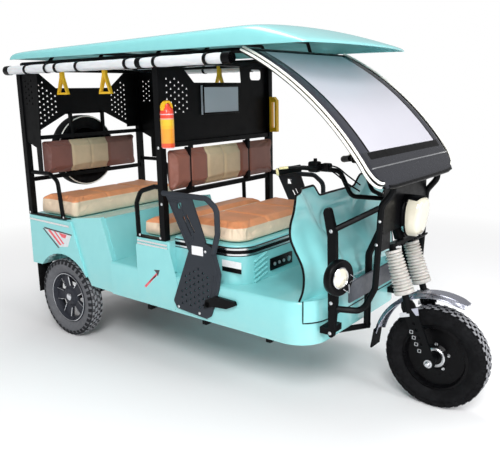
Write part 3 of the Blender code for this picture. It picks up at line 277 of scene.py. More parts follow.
def loft(bm, rings):
    """A skin through closed rings of equally many points, capped at both ends."""
    verts = bmesh.ops.create_circle(bm, cap_ends=False, segments=len(rings[0]), radius=1)["verts"]
    bmesh.ops.contextual_create(bm, geom=verts)
    for i, ring in enumerate(rings):
        if i:
            order = {vert: k for k, vert in enumerate(verts)}
            edges = [e for e in {e for v in verts for e in v.link_edges}
                     if all(v in order for v in e.verts)]
            grown = bmesh.ops.extrude_edge_only(bm, edges=edges)["geom"]
            fresh = [g for g in grown if isinstance(g, bmesh.types.BMVert)]
            verts = [None] * len(ring)
            for vert in fresh:
                for edge in vert.link_edges:
                    if edge.other_vert(vert) in order:
                        verts[order[edge.other_vert(vert)]] = vert
        for vert, place in zip(verts, ring):
            vert.co = Vector(place)
    bmesh.ops.contextual_create(bm, geom=verts)


def band(bm, plan, low, high, proud, sunk=0.001):
    """A strip of metal laid along a plan path, standing proud to the path's right-hand side."""
    plan = [Vector(p).to_3d() for p in plan]
    rings = []
    for i, place in enumerate(plan):
        run = plan[min(i + 1, len(plan) - 1)] - plan[max(i - 1, 0)]
        side = Vector((run.y, -run.x, 0)).normalized()
        ring = []
        for out, z in ((-sunk, low), (proud * 0.7, low), (proud, low + 0.001), (proud, high - 0.001),
                       (proud * 0.7, high), (-sunk, high)):
            spot = place + side * out
            ring.append((spot.x, spot.y, z))
        rings.append(ring)
    loft(bm, rings)


def bolts(bm, places, radius=0.006, height=0.004, axis=(0, -1, 0)):
    """Domed bolt heads on their washers."""
    for place in places:
        lathe(bm, [(0.0003, height), (radius * 0.55, height * 0.92), (radius * 0.9, height * 0.45),
                   (radius, height * 0.2), (radius * 1.25, height * 0.15), (radius * 1.25, -0.0005),
                   (0.0003, -0.0005)], place, axis, 14)


def piece(bm, name, material, body="chassis", slot=None, angle=40.0, replaces=(), inverted=True):
    """Finish a bmesh as a named object that rides on a body."""
    bmesh.ops.remove_doubles(bm, verts=bm.verts, dist=1e-6)
    if inverted:
        bmesh.ops.recalc_face_normals(bm, faces=bm.faces)
    mesh = bpy.data.meshes.new(name)
    bm.to_mesh(mesh)
    bm.free()
    made = bpy.data.objects.new(name, mesh)
    bpy.context.scene.collection.objects.link(made)
    mesh.materials.append(material)
    mesh.shade_smooth()
    mesh.set_sharp_from_angle(angle=math.radians(angle))
    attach(made, body)
    if replaces:
        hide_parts(*replaces)
    return made


def one(build, name, material, **more):
    """A piece from the function that shapes its bmesh."""
    bm = bmesh.new()
    build(bm)
    return piece(bm, name, material, **more)


def both(build, name, material, **more):
    """The right-hand piece and its mirrored left-hand one."""
    replaced = more.pop("replaces", None)
    body = more.pop("body", "chassis")
    made = []
    for side, word in ((1, "right"), (-1, "left")):
        bm = bmesh.new()
        build(bm)
        bmesh.ops.scale(bm, vec=(1, side, 1), verts=bm.verts)
        rides = body.replace("SIDE", word)
        made.append(piece(bm, f"{name}_{word}", material, body=rides,
                          replaces=[f"{replaced}_{word}"] if replaced else (), **more))
    return made


# Materials

NOISE, RANGE, MIX, BUMP = "ShaderNodeTexNoise", "ShaderNodeMapRange", "ShaderNodeMix", "ShaderNodeBump"
SPLIT, VECTORS, HUE = "ShaderNodeSeparateXYZ", "ShaderNodeVectorMath", "ShaderNodeHueSaturation"


def body_gelcoat():
    # Glass-fibre panels in a pale aqua gelcoat: an even glossy skin with a faint orange peel
    # and a little dust that dulls the lower sills.
    made, tree, place = finish("aqua_gelcoat", "8BD7DA", 0.24, coat_weight=0.5, coat_roughness=0.06)
    # 60 mm clouds of slightly greener and greyer skin
    cloud = add(tree, NOISE, {"Scale": 16.0, "Detail": 3.0, "Vector": place})
    height = add(tree, SPLIT, {0: place}, "Z")
    dust = add(tree, RANGE, {"Value": height, "From Min": 0.50, "From Max": 0.32, "To Max": 0.35})
    spots = add(tree, "ShaderNodeMath", {"operation": "MULTIPLY", 0: dust, 1: cloud})
    tint = add(tree, MIX, {"data_type": "RGBA", 0: cloud, 6: "88D4D7", 7: "91DCDD"}, 2)
    greyed_skin = add(tree, MIX, {"data_type": "RGBA", 0: spots, 6: tint, 7: "A9B3A8"}, 2)
    # the orange peel of a real gelcoat is 2 mm across; 5 mm here so that it shows
    peel = add(tree, NOISE, {"Scale": 200.0, "Detail": 1.0, "Vector": place})
    relief = add(tree, BUMP, {"Strength": 0.04, "Distance": 0.001, "Height": peel})
    return dress(made, {"Base Color": greyed_skin, "Normal": relief})


def powder_coat(name, colour, roughness):
    # Powder-coated steel tube and sheet: deep black, softly glossy, with a fine pebbled skin
    # and duller patches.
    made, tree, place = finish(name, colour, roughness, specular_ior_level=0.10)
    cloud = add(tree, NOISE, {"Scale": 22.0, "Detail": 4.0, "Roughness": 0.6, "Vector": place})
    dull = add(tree, RANGE, {"Value": cloud, "From Min": 0.35, "From Max": 0.75, "To Min": roughness - 0.08,
                             "To Max": roughness + 0.16})
    # pebbles 3 mm across, coarser than the real 0.5 mm so that they show
    pebble = add(tree, NOISE, {"Scale": 330.0, "Detail": 2.0, "Vector": place})
    relief = add(tree, BUMP, {"Strength": 0.10, "Distance": 0.0008, "Height": pebble})
    return dress(made, {"Roughness": dull, "Normal": relief})


def tyre_rubber(name, colour, dust_colour, wear_and_highlight=None):
    # Cured rubber: near black, matt, greyed by road dust in patches, with a mould's fine texture.
    # The fourth argument is the axle of a tyre whose lug tops are painted pale in their outer 3 mm: a painted
    # highlight on the tread.
    made, tree, place = finish(name, colour, 0.72, specular_ior_level=0.10)
    dust = add(tree, NOISE, {"Scale": 30.0, "Detail": 5.0, "Roughness": 0.65, "Vector": place})
    mask = add(tree, RANGE, {"Value": dust, "From Min": 0.45, "From Max": 0.80, "To Max": 0.45})
    grey = add(tree, MIX, {"data_type": "RGBA", 0: mask, 6: colour, 7: dust_colour}, 2)
    if wear_and_highlight:
        arm = add(tree, VECTORS, {"operation": "SUBTRACT", 0: place, 1: wear_and_highlight})
        arm = add(tree, VECTORS, {"operation": "MULTIPLY", 0: arm, 1: (1, 0, 1)})
        reach = add(tree, VECTORS, {"operation": "LENGTH", 0: arm}, "Value")
        # painted highlight: the lug tops turn pale grey in their outer 3 mm
        lug_top_highlight = add(tree, RANGE, {"Value": reach, "From Min": TYRE_R - 0.0035,
                                    "From Max": TYRE_R - 0.0012})
        grey = add(tree, MIX, {"data_type": "RGBA", 0: lug_top_highlight, 6: grey, 7: "8F9094"}, 2)
    fine = add(tree, NOISE, {"Scale": 420.0, "Detail": 2.0, "Vector": place})
    relief = add(tree, BUMP, {"Strength": 0.25, "Distance": 0.0008, "Height": fine})
    return dress(made, {"Base Color": grey, "Normal": relief})


def bright_metal(name, colour, roughness, brushed=0.0):
    # Chromed or polished stainless steel: mirror-like with faint smears, brushed where it is strip.
    made, tree, place = finish(name, colour, roughness, 1.0)
    smear = add(tree, NOISE, {"Scale": 35.0, "Detail": 3.0, "Vector": place})
    dull = add(tree, RANGE, {"Value": smear, "To Min": roughness * 0.7, "To Max": roughness * 1.6 + 0.02})
    sockets = {"Roughness": dull}
    if brushed:
        # brush lines 1 mm apart along X
        stretch = add(tree, "ShaderNodeMapping", {"Scale": (8.0, 1000.0, 1000.0), "Vector": place})
        line = add(tree, NOISE, {"Scale": 1.0, "Detail": 1.0, "Vector": stretch})
        sockets["Normal"] = add(tree, BUMP, {"Strength": brushed, "Distance": 0.0004, "Height": line})
    return dress(made, sockets)


def steps_along(tree, place, axis, colours, edges, softness):
    """A colour that changes to the next one at each edge along an axis."""
    along = add(tree, SPLIT, {0: place}, axis)
    mixed = colours[0]
    for colour, edge in zip(colours[1:], edges):
        past = add(tree, RANGE, {"Value": along, "From Min": edge - softness, "From Max": edge + softness})
        mixed = add(tree, MIX, {"data_type": "RGBA", 0: past, 6: mixed, 7: colour}, 2)
    return mixed


def leatherette(name, colours, axis, seams):
    # PVC leatherette: pebbled grain with a soft sheen. Its panels are cut from different colours, so
    # the colour changes at sewn lines along one axis.
    made, tree, place = finish(name, colours[0], 0.46, sheen_weight=0.08, coat_weight=0.12,
                               coat_roughness=0.25)
    panels = steps_along(tree, place, axis, colours, seams, 0.0015)
    # wear: paler where hands and legs rub, in 80 mm clouds
    cloud = add(tree, NOISE, {"Scale": 12.0, "Detail": 4.0, "Vector": place})
    wear_and_highlight = add(tree, RANGE, {"Value": cloud, "From Min": 0.3, "From Max": 0.8, "To Min": 0.88,
                             "To Max": 1.10})
    shade = add(tree, HUE, {"Value": wear_and_highlight, "Color": panels})
    # leather grain cells 4 mm across, twice the real size so that they show
    cell = add(tree, "ShaderNodeTexVoronoi", {"Scale": 240.0, "feature": "SMOOTH_F1", "Vector": place})
    grain = add(tree, BUMP, {"Strength": 0.22, "Distance": 0.0008, "Height": cell})
    crease = add(tree, NOISE, {"Scale": 26.0, "Detail": 3.0, "Distortion": 0.8, "Vector": place})
    folds = add(tree, BUMP, {"Strength": 0.35, "Distance": 0.004, "Height": crease, "Normal": grain})
    return dress(made, {"Base Color": shade, "Normal": folds})


def moulded_plastic(name, colour, roughness, shine=0.5):
    # Injection-moulded ABS or polypropylene: even colour, a spark-eroded texture and faint scuffs.
    made, tree, place = finish(name, colour, roughness, specular_ior_level=shine)
    scuff = add(tree, NOISE, {"Scale": 45.0, "Detail": 4.0, "Roughness": 0.7, "Vector": place})
    dull = add(tree, RANGE, {"Value": scuff, "From Min": 0.4, "From Max": 0.8, "To Min": roughness - 0.06,
                             "To Max": roughness + 0.18})
    fine = add(tree, NOISE, {"Scale": 500.0, "Detail": 1.0, "Vector": place})
    relief = add(tree, BUMP, {"Strength": 0.10, "Distance": 0.0005, "Height": fine})
    return dress(made, {"Roughness": dull, "Normal": relief})


def curtain_vinyl():
    # Rolled PVC-coated curtain: pale, a little translucent, creased along and across the roll.
    made, tree, place = finish("curtain_vinyl", "E3E6E8", 0.42, subsurface_weight=0.08, coat_weight=0.15)
    # creases 70 mm long and 17 mm apart
    stretch = add(tree, "ShaderNodeMapping", {"Scale": (14.0, 60.0, 60.0), "Vector": place})
    crease = add(tree, NOISE, {"Scale": 1.0, "Detail": 5.0, "Distortion": 0.6, "Vector": stretch})
    # painted shade: the sheet is darker blue-grey in the creases' hollows, following the noise that also
    # shapes their bump
    crease_shade_tone = add(tree, MIX, {"data_type": "RGBA", 0: crease, 6: "C9CFD6", 7: "F2F4F4"}, 2)
    relief = add(tree, BUMP, {"Strength": 0.55, "Distance": 0.004, "Height": crease})
    return dress(made, {"Base Color": crease_shade_tone, "Normal": relief})


def screen_pane():
    # Laminated windscreen seen against a white sky: its clear glass is painted an opaque pale lavender-grey,
    # a painted reflection of the bright sky, with the wide grey border and the black line printed on its
    # inner face. The border follows a rounded rectangle in Y and Z.
    made, tree, place = finish("screen_pane", "C0BFC8", 0.25, specular_ior_level=0.10)
    corner, line_width = 0.030, 0.014
    # how far a place lies past the clear glass, to the side and below
    folded = add(tree, VECTORS, {"operation": "ABSOLUTE", 0: place})
    folded = add(tree, VECTORS, {"operation": "MULTIPLY_ADD", 0: folded, 1: (0, 1, -1),
                                 2: (0, corner - CLEAR_HALF, CLEAR_LOW_Z + corner)})
    past = add(tree, VECTORS, {"operation": "MAXIMUM", 0: folded, 1: (0, 0, 0)})
    reach = add(tree, VECTORS, {"operation": "LENGTH", 0: past}, "Value")
    # the line is wider along the bottom
    lower = add(tree, VECTORS, {"operation": "MULTIPLY", 0: past, 1: (0, 1, 0.76)})
    outer = add(tree, VECTORS, {"operation": "LENGTH", 0: lower}, "Value")
    past_clear = add(tree, RANGE, {"Value": reach, "From Min": corner - 0.0008,
                                   "From Max": corner + 0.0008})
    past_line = add(tree, RANGE, {"Value": outer, "From Min": corner + line_width,
                                  "From Max": corner + line_width + 0.002})
    # 250 mm clouds in the painted sky reflection
    sky_reflection_clouds = add(tree, NOISE, {"Scale": 4.0, "Detail": 2.0, "Vector": place})
    sky_reflection_tint = add(tree, MIX, {"data_type": "RGBA", 0: sky_reflection_clouds, 6: "BEBDC6", 7: "C3C2CB"}, 2)
    printed = add(tree, MIX, {"data_type": "RGBA", 0: past_line, 6: "040405", 7: "3A3B42"}, 2)
    ringed = add(tree, MIX, {"data_type": "RGBA", 0: past_clear, 6: sky_reflection_tint, 7: printed}, 2)
    return dress(made, {"Base Color": ringed})


def lamp_lens():
    # Clear polycarbonate over a bright reflector that shows cream, with moulded flutes 8 mm apart.
    made, tree, place = finish("lamp_lens", "E6E0CC", 0.14, 0.15, coat_weight=1.0, coat_roughness=0.03)
    flute = add(tree, "ShaderNodeTexWave", {"Scale": 20.0, "bands_direction": "Y", "Distortion": 0.4,
                                            "Vector": place}, "Fac")
    return dress(made, {"Normal": add(tree, BUMP, {"Strength": 0.25, "Distance": 0.002, "Height": flute})})


def ribbed_rubber():
    # Ivory gaiter rubber: matt, slightly translucent, greyed and darkened in random 25 mm patches: painted
    # shade standing in for the dark gaps between the ribs.
    made, tree, place = finish("ivory_gaiter_rubber", "C6C3BE", 0.55, subsurface_weight=0.05)
    rib_gap_shade = add(tree, NOISE, {"Scale": 40.0, "Detail": 5.0, "Roughness": 0.7, "Vector": place})
    mask = add(tree, RANGE, {"Value": rib_gap_shade, "From Min": 0.5, "From Max": 0.78, "To Max": 0.6})
    greyed_skin = add(tree, MIX, {"data_type": "RGBA", 0: mask, 6: "C4C1BC", 7: "5F5A54"}, 2)
    return dress(made, {"Base Color": greyed_skin})


def stacked_bands(name, colours, heights):
    # A printed or enamelled skin whose colour changes at fixed heights, as an extinguisher's label does,
    # with worn patches 17 mm across.
    made, tree, place = finish(name, colours[0], 0.35, coat_weight=0.3)
    bands = steps_along(tree, place, "Z", colours, heights, 0.0005)
    scuff = add(tree, NOISE, {"Scale": 60.0, "Detail": 3.0, "Vector": place})
    wear_and_highlight = add(tree, RANGE, {"Value": scuff, "To Min": 0.85, "To Max": 1.1})
    return dress(made, {"Base Color": add(tree, HUE, {"Value": wear_and_highlight, "Color": bands})})


AQUA = body_gelcoat()
BLACK = powder_coat("black_powder_coat", "08090B", 0.40)
GUARD_GREY = powder_coat("charcoal_powder_coat", "34383E", 0.45)
RIM_BLACK = powder_coat("black_wheel_enamel", "0A0A0C", 0.30)
RIM_GREY = powder_coat("grey_wheel_enamel", "35373E", 0.32)
RUBBER = tyre_rubber("tyre_rubber", "0E0E10", "2A2B2D")
# The rear tyres' rubber is painted lighter grey than the front tyre's black: painted light, the same rubber
# shown as lit, with road dust in patches over it.
LIT_DUSTY_RUBBER = tyre_rubber("lit_dusty_sidewall_rubber", "66676B", "85868A")
FRONT_TREAD = tyre_rubber("front_tread_rubber", "0E0E10", "2A2B2D", FRONT_AXLE)
LIT_DUSTY_TREAD = tyre_rubber("lit_dusty_tread_rubber", "26272A", "55565A", REAR_AXLE)
CHROME = bright_metal("polished_stainless", "D7D9DD", 0.12)
GUARD_CHROME = bright_metal("polished_mudguard_steel", "B9BBC8", 0.22)
STRIP_METAL = bright_metal("brushed_trim_strip", "E2E3E4", 0.20, 0.3)
ZINC = bright_metal("zinc_plated_bolts", "D5D7DA", 0.28)
DECAL_RED = moulded_plastic("red_decal_vinyl", "E8606A", 0.30)
DECAL_GREY = moulded_plastic("pale_grey_decal_vinyl", "DDE3E6", 0.30)
DECAL_DARK = moulded_plastic("charcoal_decal_vinyl", "3B3036", 0.30)
HANDLE_CREAM = moulded_plastic("cream_lever_tips", "E6DDA6", 0.35)
CREAM_TRIM = moulded_plastic("cream_edge_trim", "FCFAF2", 0.35)
BLACK_ABS = moulded_plastic("black_moulded_abs", "09090B", 0.35, 0.10)
GREY_ABS = moulded_plastic("grey_moulded_cover", "4A4E56", 0.45)
YELLOW_ABS = moulded_plastic("yellow_moulded_plastic", "F0BE22", 0.38)
RED_LENS = moulded_plastic("red_lamp_plastic", "B3201C", 0.15)
WHITE_PLATE = moulded_plastic("white_plate_enamel", "F2F3F5", 0.30)
NOSE_GREY = moulded_plastic("gloss_graphite_abs", "2E2F34", 0.22, 0.20)
CASE_BLACK = moulded_plastic("battery_case_plastic", "141517", 0.55, 0.2)
CURTAIN = curtain_vinyl()
PANE = screen_pane()
LENS = lamp_lens()
GAITER = ribbed_rubber()
EXTINGUISHER_SKIN = stacked_bands(
    "extinguisher_enamel_and_label",
    ("F6C7D2", "F0532D", "F7A12B", "F5B423", "EFC02A", "F2A58F", "E8452F", "F3B9BE", "E9462F"),
    (1.194, 1.215, 1.285, 1.300, 1.330, 1.336, 1.352, 1.357))
BACK_LEATHER_REAR = leatherette("brown_and_beige_leatherette_rear", ("7C4F47", "C9B596", "80544A"), "Y",
                                (-0.174, 0.120))
BACK_LEATHER_MID = leatherette("brown_and_beige_leatherette_mid", ("8A5546", "CDB896", "8A5546"), "Y",
                               (-0.170, 0.112))


def repaint(material, *names):
    for name in names:
        nodes[name].data.materials.clear()
        nodes[name].data.materials.append(material)


repaint(AQUA, "rear_seat_base", "tail_panel", "mid_seat_box", "rear_fender_right", "rear_fender_left")
repaint(BLACK, "chassis_frame", "rear_frame", "mid_frame", "roof_frame", "windscreen_frame", "tail_bar",
        "rear_axle", "fork", "handlebar", "front_guard_right", "front_guard_left", "rear_armrest_right",
        "rear_armrest_left", "mid_armrest_right", "mid_armrest_left", "leaf_spring_right",
        "leaf_spring_left")
repaint(GUARD_GREY, "side_guard_right", "side_guard_left")
repaint(GREY_ABS, "front_box")
repaint(RIM_BLACK, "front_rim")
repaint(RIM_GREY, "rear_right_rim", "rear_left_rim")
repaint(YELLOW_ABS, "grab_rail_right", "grab_rail_left", "pillar_handle")
repaint(RED_LENS, "tail_lamps")
repaint(CASE_BLACK, "battery_block")


# Tyres, with smooth sidewalls and a tread of skewed blocks

def build_tyre(centre, name, body, replaced, side_material, tread_material, lugs=38):
    """A carcass about Y with its tread, or about X with none where there is no tread material."""
    bm = bmesh.new()
    half = TYRE_HALF
    outer = TYRE_R - 0.009
    profile = [(BEAD_R - 0.002, half * 0.60), (BEAD_R + 0.006, half * 0.72), (BEAD_R + 0.012, half * 0.80),
               (BEAD_R + 0.030, half * 0.97), (BEAD_R + 0.045, half), (outer - 0.020, half * 0.97),
               (outer - 0.006, half * 0.88), (outer, half * 0.70), (outer + 0.001, 0.0)]
    profile += [(radius, -along) for radius, along in profile[-2::-1]]
    profile.append(profile[0])
    lathe(bm, profile, centre, "Y", 72)
    if not tread_material:
        bmesh.ops.rotate(bm, verts=bm.verts, cent=centre, matrix=Matrix.Rotation(math.pi / 2, 3, "Z"))
    piece(bm, name, side_material, body=body, slot="tyre", replaces=replaced)
    if not tread_material:
        return
    bm = bmesh.new()
    pitch = math.tau * TYRE_R / lugs
    # one pitch of tread: place across, half length in pitches, half width, skew, shift in pitches
    blocks = [(0.010, 0.36, 0.0085, 0.45, 0.0), (-0.010, 0.36, 0.0085, -0.45, 0.5),
              (0.029, 0.30, 0.0080, -0.30, 0.5), (-0.029, 0.30, 0.0080, 0.30, 0.0)]
    for across, length, width, skew, shift in blocks:
        size = Matrix.Diagonal((pitch * length * 2, width * 2, 0.012, 1))
        verts = bmesh.ops.create_cube(bm, size=1, matrix=size)["verts"]
        for vert in verts:
            vert.co.x += vert.co.y * skew + shift * pitch
            if vert.co.z > 0:
                vert.co.x = shift * pitch + (vert.co.x - shift * pitch) * 0.82
                vert.co.y *= 0.86
        bmesh.ops.translate(bm, verts=verts, vec=(0, across, TYRE_R - 0.0062))
    for side in (-1, 1):
        # shoulder lug that runs down onto the sidewall
        size = Matrix.Diagonal((pitch * 0.50, 0.006, 0.026, 1))
        verts = bmesh.ops.create_cube(bm, size=1, matrix=size)["verts"]
        lean = Matrix.Rotation(side * 0.35, 3, "X")
        bmesh.ops.rotate(bm, verts=verts, cent=(0, 0, 0), matrix=lean)
        bmesh.ops.translate(bm, verts=verts, vec=(0.0 if side > 0 else pitch * 0.5, side * (half - 0.0055),
                                                  TYRE_R - 0.0185))
    bmesh.ops.translate(bm, verts=bm.verts, vec=centre)
    bmesh.ops.spin(bm, geom=bm.verts[:] + bm.edges[:] + bm.faces[:], cent=centre, axis=(0, 1, 0),
                   angle=math.tau, steps=lugs, use_merge=False, use_duplicate=True)
    geom = bm.verts[:]
    limit = TYRE_R - 0.0002
    for vert in geom:
        arm = Vector((vert.co.x - centre.x, 0, vert.co.z - centre.z))
        if arm.length > limit:
            arm *= limit / arm.length
            vert.co.x, vert.co.z = centre.x + arm.x, centre.z + arm.z
    piece(bm, name + "_tread", tread_material, body=body, slot="tyre")


build_tyre(FRONT_AXLE, "front_tyre_carcass", "front_wheel", ["front_tyre"], RUBBER, FRONT_TREAD)
for side, word in ((-1, "right"), (1, "left")):
    build_tyre(REAR_AXLE + Vector((0, side * REAR_WHEEL_Y, 0)), f"rear_{word}_tyre_carcass",
               f"rear_wheel_{word}", [f"rear_{word}_tyre"], LIT_DUSTY_RUBBER, LIT_DUSTY_TREAD)
SPARE = Vector((-1.3425, 0.0, 1.090))
build_tyre(SPARE, "spare_tyre", "chassis", ["spare_wheel"], RUBBER, None)


def spare_rim(bm):
    """Pressed steel disc of the spare, dished towards the rear."""
    lathe(bm, [(0.159, 0.028), (0.150, 0.030), (0.144, 0.022), (0.140, 0.004), (0.120, -0.004),
               (0.070, -0.004), (0.055, 0.010), (0.030, 0.012), (0.012, 0.012), (0.012, 0.006),
               (0.054, 0.004), (0.070, -0.010), (0.122, -0.010), (0.144, -0.004), (0.144, -0.030),
               (0.159, -0.030), (0.159, 0.028)], SPARE, "X", 64)


one(spare_rim, "spare_rim", RIM_BLACK, slot="wheel_black")
one(lambda bm: lathe(bm, [(0.2190, 0.0410), (0.2235, 0.0455), (0.2280, 0.0410), (0.2235, 0.0370),
                          (0.2190, 0.0410)], SPARE, "X", 96), "spare_edge_ring", CREAM_TRIM,
    slot="bright_steel")


def rear_rim_trim(bm):
    """Machined edges of the five windows, the centre cap and the bright edge of the rim."""
    face_y = -REAR_WHEEL_Y - 0.0130
    for spoke in range(5):
        for side in (-1, 1):
            near = math.radians(72 * spoke + side * 14)
            far = math.radians(72 * spoke + side * 20)
            low = Vector((REAR_AXLE.x + 0.072 * math.cos(near), face_y,
                          REAR_AXLE.z + 0.072 * math.sin(near)))
            high = Vector((REAR_AXLE.x + 0.128 * math.cos(far), face_y - 0.004,
                           REAR_AXLE.z + 0.128 * math.sin(far)))
            rod(bm, low, high, 0.0035, 0.0035, 8)
    lathe(bm, [(0.0004, -0.0330), (0.016, -0.0325), (0.022, -0.0290), (0.023, -0.0240), (0.0004, -0.0240)],
          (REAR_AXLE.x, -REAR_WHEEL_Y, REAR_AXLE.z), "Y", 32)
    lathe(bm, [(0.1475, -0.0352), (0.1500, -0.0362), (0.1520, -0.0350), (0.1475, -0.0345),
               (0.1475, -0.0352)], (REAR_AXLE.x, -REAR_WHEEL_Y, REAR_AXLE.z), "Y", 72)


both(rear_rim_trim, "rear_rim_trim", CHROME, body="rear_wheel_SIDE", slot="bright_steel")


def front_hub_trim(bm):
    """Bright ring and bolts of the front hub, on both of its faces."""
    for side in (-1, 1):
        lathe(bm, [(0.034, side * 0.0262), (0.042, side * 0.0285), (0.047, side * 0.0250),
                   (0.047, side * 0.0200), (0.034, side * 0.0200), (0.034, side * 0.0262)], FRONT_AXLE, "Y",
              40)
        for i in range(5):
            angle = math.radians(18 + 72 * i)
            place = FRONT_AXLE + Vector((0.062 * math.cos(angle), side * 0.012, 0.062 * math.sin(angle)))
            bolts(bm, [place], 0.0065, 0.007, (0, side, 0))


one(front_hub_trim, "front_hub_trim", ZINC, body="front_wheel", slot="bright_steel")


# Seats

def chosen_bevel(bm, offset, segments, chosen):
    """Round the edges whose two ends pass the test."""
    edges = [e for e in bm.edges if chosen(e.verts[0].co, e.verts[1].co)]
    bmesh.ops.bevel(bm, geom=edges, offset=offset, segments=segments, profile=0.5, affect="EDGES",
                    material=-1, clamp_overlap=True)


def pad_shape(low, high, inset=0.004, corner=0.018):
    """A pad pulled in a little, ready to be inflated, its front corners rounded in plan."""
    bm = bmesh.new()
    low, high = Vector(low) + Vector((inset,) * 3), Vector(high) - Vector((inset,) * 3)
    block(bm, low, high)
    if corner > 0.02:
        chosen_bevel(bm, corner, 8, lambda a, b: min(a.x, b.x) > high.x - 0.001 and abs(a.z - b.z) > 0.03)
    chosen_bevel(bm, 0.016, 3, lambda a, b: min(a.z, b.z) > high.z - 0.001 or max(a.z, b.z) < low.z + 0.001)
    return bm


def inflate(made, cap, anchored):
    """Swell a pad as stuffed cloth does: cloth under pressure, no point further than the cap."""
    mod = made.modifiers.new("remesh", "REMESH")
    mod.mode = "VOXEL"
    mod.voxel_size = 0.006
    bpy.context.view_layer.update()
    graph = bpy.context.evaluated_depsgraph_get()
    mesh = bpy.data.meshes.new_from_object(made.evaluated_get(graph))
    made.modifiers.clear()
    made.data = mesh
    rest = [v.co.copy() for v in mesh.vertices]
    group = made.vertex_groups.new(name="held")
    group.add([i for i, co in enumerate(rest) if anchored(co)], 1.0, "REPLACE")
    cloth = made.modifiers.new("cloth", "CLOTH")
    cloth.settings.use_pressure = True
    cloth.settings.uniform_pressure_force = 4.0
    cloth.settings.tension_stiffness = 12.0
    cloth.settings.vertex_group_mass = "held"
    cloth.settings.effector_weights.gravity = 0.0
    cloth.collision_settings.use_collision = False
    scene = bpy.context.scene
    for step in range(1, 21):
        scene.frame_set(step)
    graph = bpy.context.evaluated_depsgraph_get()
    swollen = bpy.data.meshes.new_from_object(made.evaluated_get(graph))
    for vert, place in zip(swollen.vertices, rest):
        move = vert.co - place
        if move.length > cap:
            vert.co = place + move.normalized() * cap
    made.modifiers.clear()
    made.vertex_groups.clear()
    made.data = swollen
    scene.frame_set(1)


def sink_seams(made, seams, depth=0.007, width=0.012):
    """Press sewn lines into a pad's outer faces. A seam is (axis, place, outward axis, sign, lowest)."""
    for vert in made.data.vertices:
        for axis, place, out_axis, sign, low in seams:
            away = abs(vert.co[axis] - place)
            if away < width * 3 and vert.co[out_axis] * sign > low * sign:
                vert.co[out_axis] -= sign * depth * math.exp(-(away / width) ** 2)
    made.data.update()


def cushion(name, node, corner, cap=0.016):
    """A bench cushion: tan top sheet, cream boxing, two sewn channels where it is deep."""
    low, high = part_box(node)
    split = high.z - 0.026
    leather = leatherette(name + "_leatherette", ("F4DCC0", "F2A06E"), "Z", (split,))
    bm = pad_shape(low + Vector((0.002, 0.002, 0)), high - Vector((0.002, 0.002, 0.010)), corner=corner)
    made = piece(bm, name, leather, slot="seat_tan", replaces=[node], angle=180)
    inflate(made, cap, lambda co: co.z < low.z + 0.012)
    for vert in made.data.vertices:
        vert.co.z = max(vert.co.z, low.z + 0.0004)
        vert.co.x = min(max(vert.co.x, low.x - 0.004), high.x + 0.004)
    if high.x - low.x > 0.3:
        sink_seams(made, [(1, -0.14, 2, 1, high.z - 0.05), (1, 0.14, 2, 1, high.z - 0.05)], 0.008, 0.010)
    made.data.shade_smooth()


# the cushion, its CAD node, its front corners' radius and how far it may swell
cushion("rear_bench_cushion", "rear_cushion", 0.030)
cushion("mid_bench_cushion", "mid_cushion", 0.010, 0.012)
cushion("driver_bench_cushion", "driver_cushion", 0.090)


def backrest(name, node, leather, seams):
    low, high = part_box(node)
    bm = pad_shape(low + Vector((0, 0.002, 0.002)), high - Vector((0.010, 0.002, 0.002)), 0.002, 0.0)
    made = piece(bm, name, leather, slot="seat_brown", replaces=[node], angle=180)
    inflate(made, 0.012, lambda co: co.x < low.x + 0.010)
    for vert in made.data.vertices:
        vert.co.x = max(vert.co.x, low.x + 0.0004)
    sink_seams(made, [(1, place, 0, 1, low.x + 0.02) for place in seams], 0.008, 0.008)
    made.data.shade_smooth()


backrest("rear_bench_backrest", "rear_backrest", BACK_LEATHER_REAR, (-0.174, -0.02, 0.120))
backrest("mid_bench_backrest", "mid_backrest", BACK_LEATHER_MID, (-0.303, -0.170, -0.03, 0.112, 0.190))


def backrest_straps(bm):
    """Dark uprights sewn over the middle bench's backrest."""
    low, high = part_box("mid_backrest")
    for place, half in ((-0.3025, 0.0075), (0.191, 0.013)):
        block(bm, (low.x + 0.004, place - half, low.z - 0.002),
              (high.x - 0.0045, place + half, high.z + 0.002), 0.003, 2)


one(backrest_straps, "backrest_straps", BLACK_ABS, slot="seat_brown")


# Body panels

def body_tub(bm):
    """The moulded floor and its skirts, round at the front, open underneath."""
    verts = block(bm, (FLOOR_REAR_X, -BODY_HALF, 0.30), (FLOOR_FRONT_X, BODY_HALF, FLOOR_Z))
    for vert in verts:
        if vert.co.z < 0.4:
            vert.co.z = 0.355 if vert.co.x < 0 else 0.336
    chosen_bevel(bm, FLOOR_CORNER_R, 16, lambda a, b: min(a.x, b.x) > FLOOR_FRONT_X - 0.001
                 and abs(a.z - b.z) > 0.1)
    chosen_bevel(bm, 0.014, 4, lambda a, b: min(a.z, b.z) > FLOOR_Z - 0.001
                 and max(a.x, b.x) > FLOOR_REAR_X + 0.001)
    bm.normal_update()
    under = [f for f in bm.faces if f.normal.z < -0.9]
    bmesh.ops.delete(bm, geom=under, context="FACES")
    bmesh.ops.recalc_face_normals(bm, faces=bm.faces)
    bmesh.ops.solidify(bm, geom=bm.faces[:], thickness=0.006)


one(body_tub, "body_tub", AQUA, slot="body", replaces=["floor_pan"], angle=35)


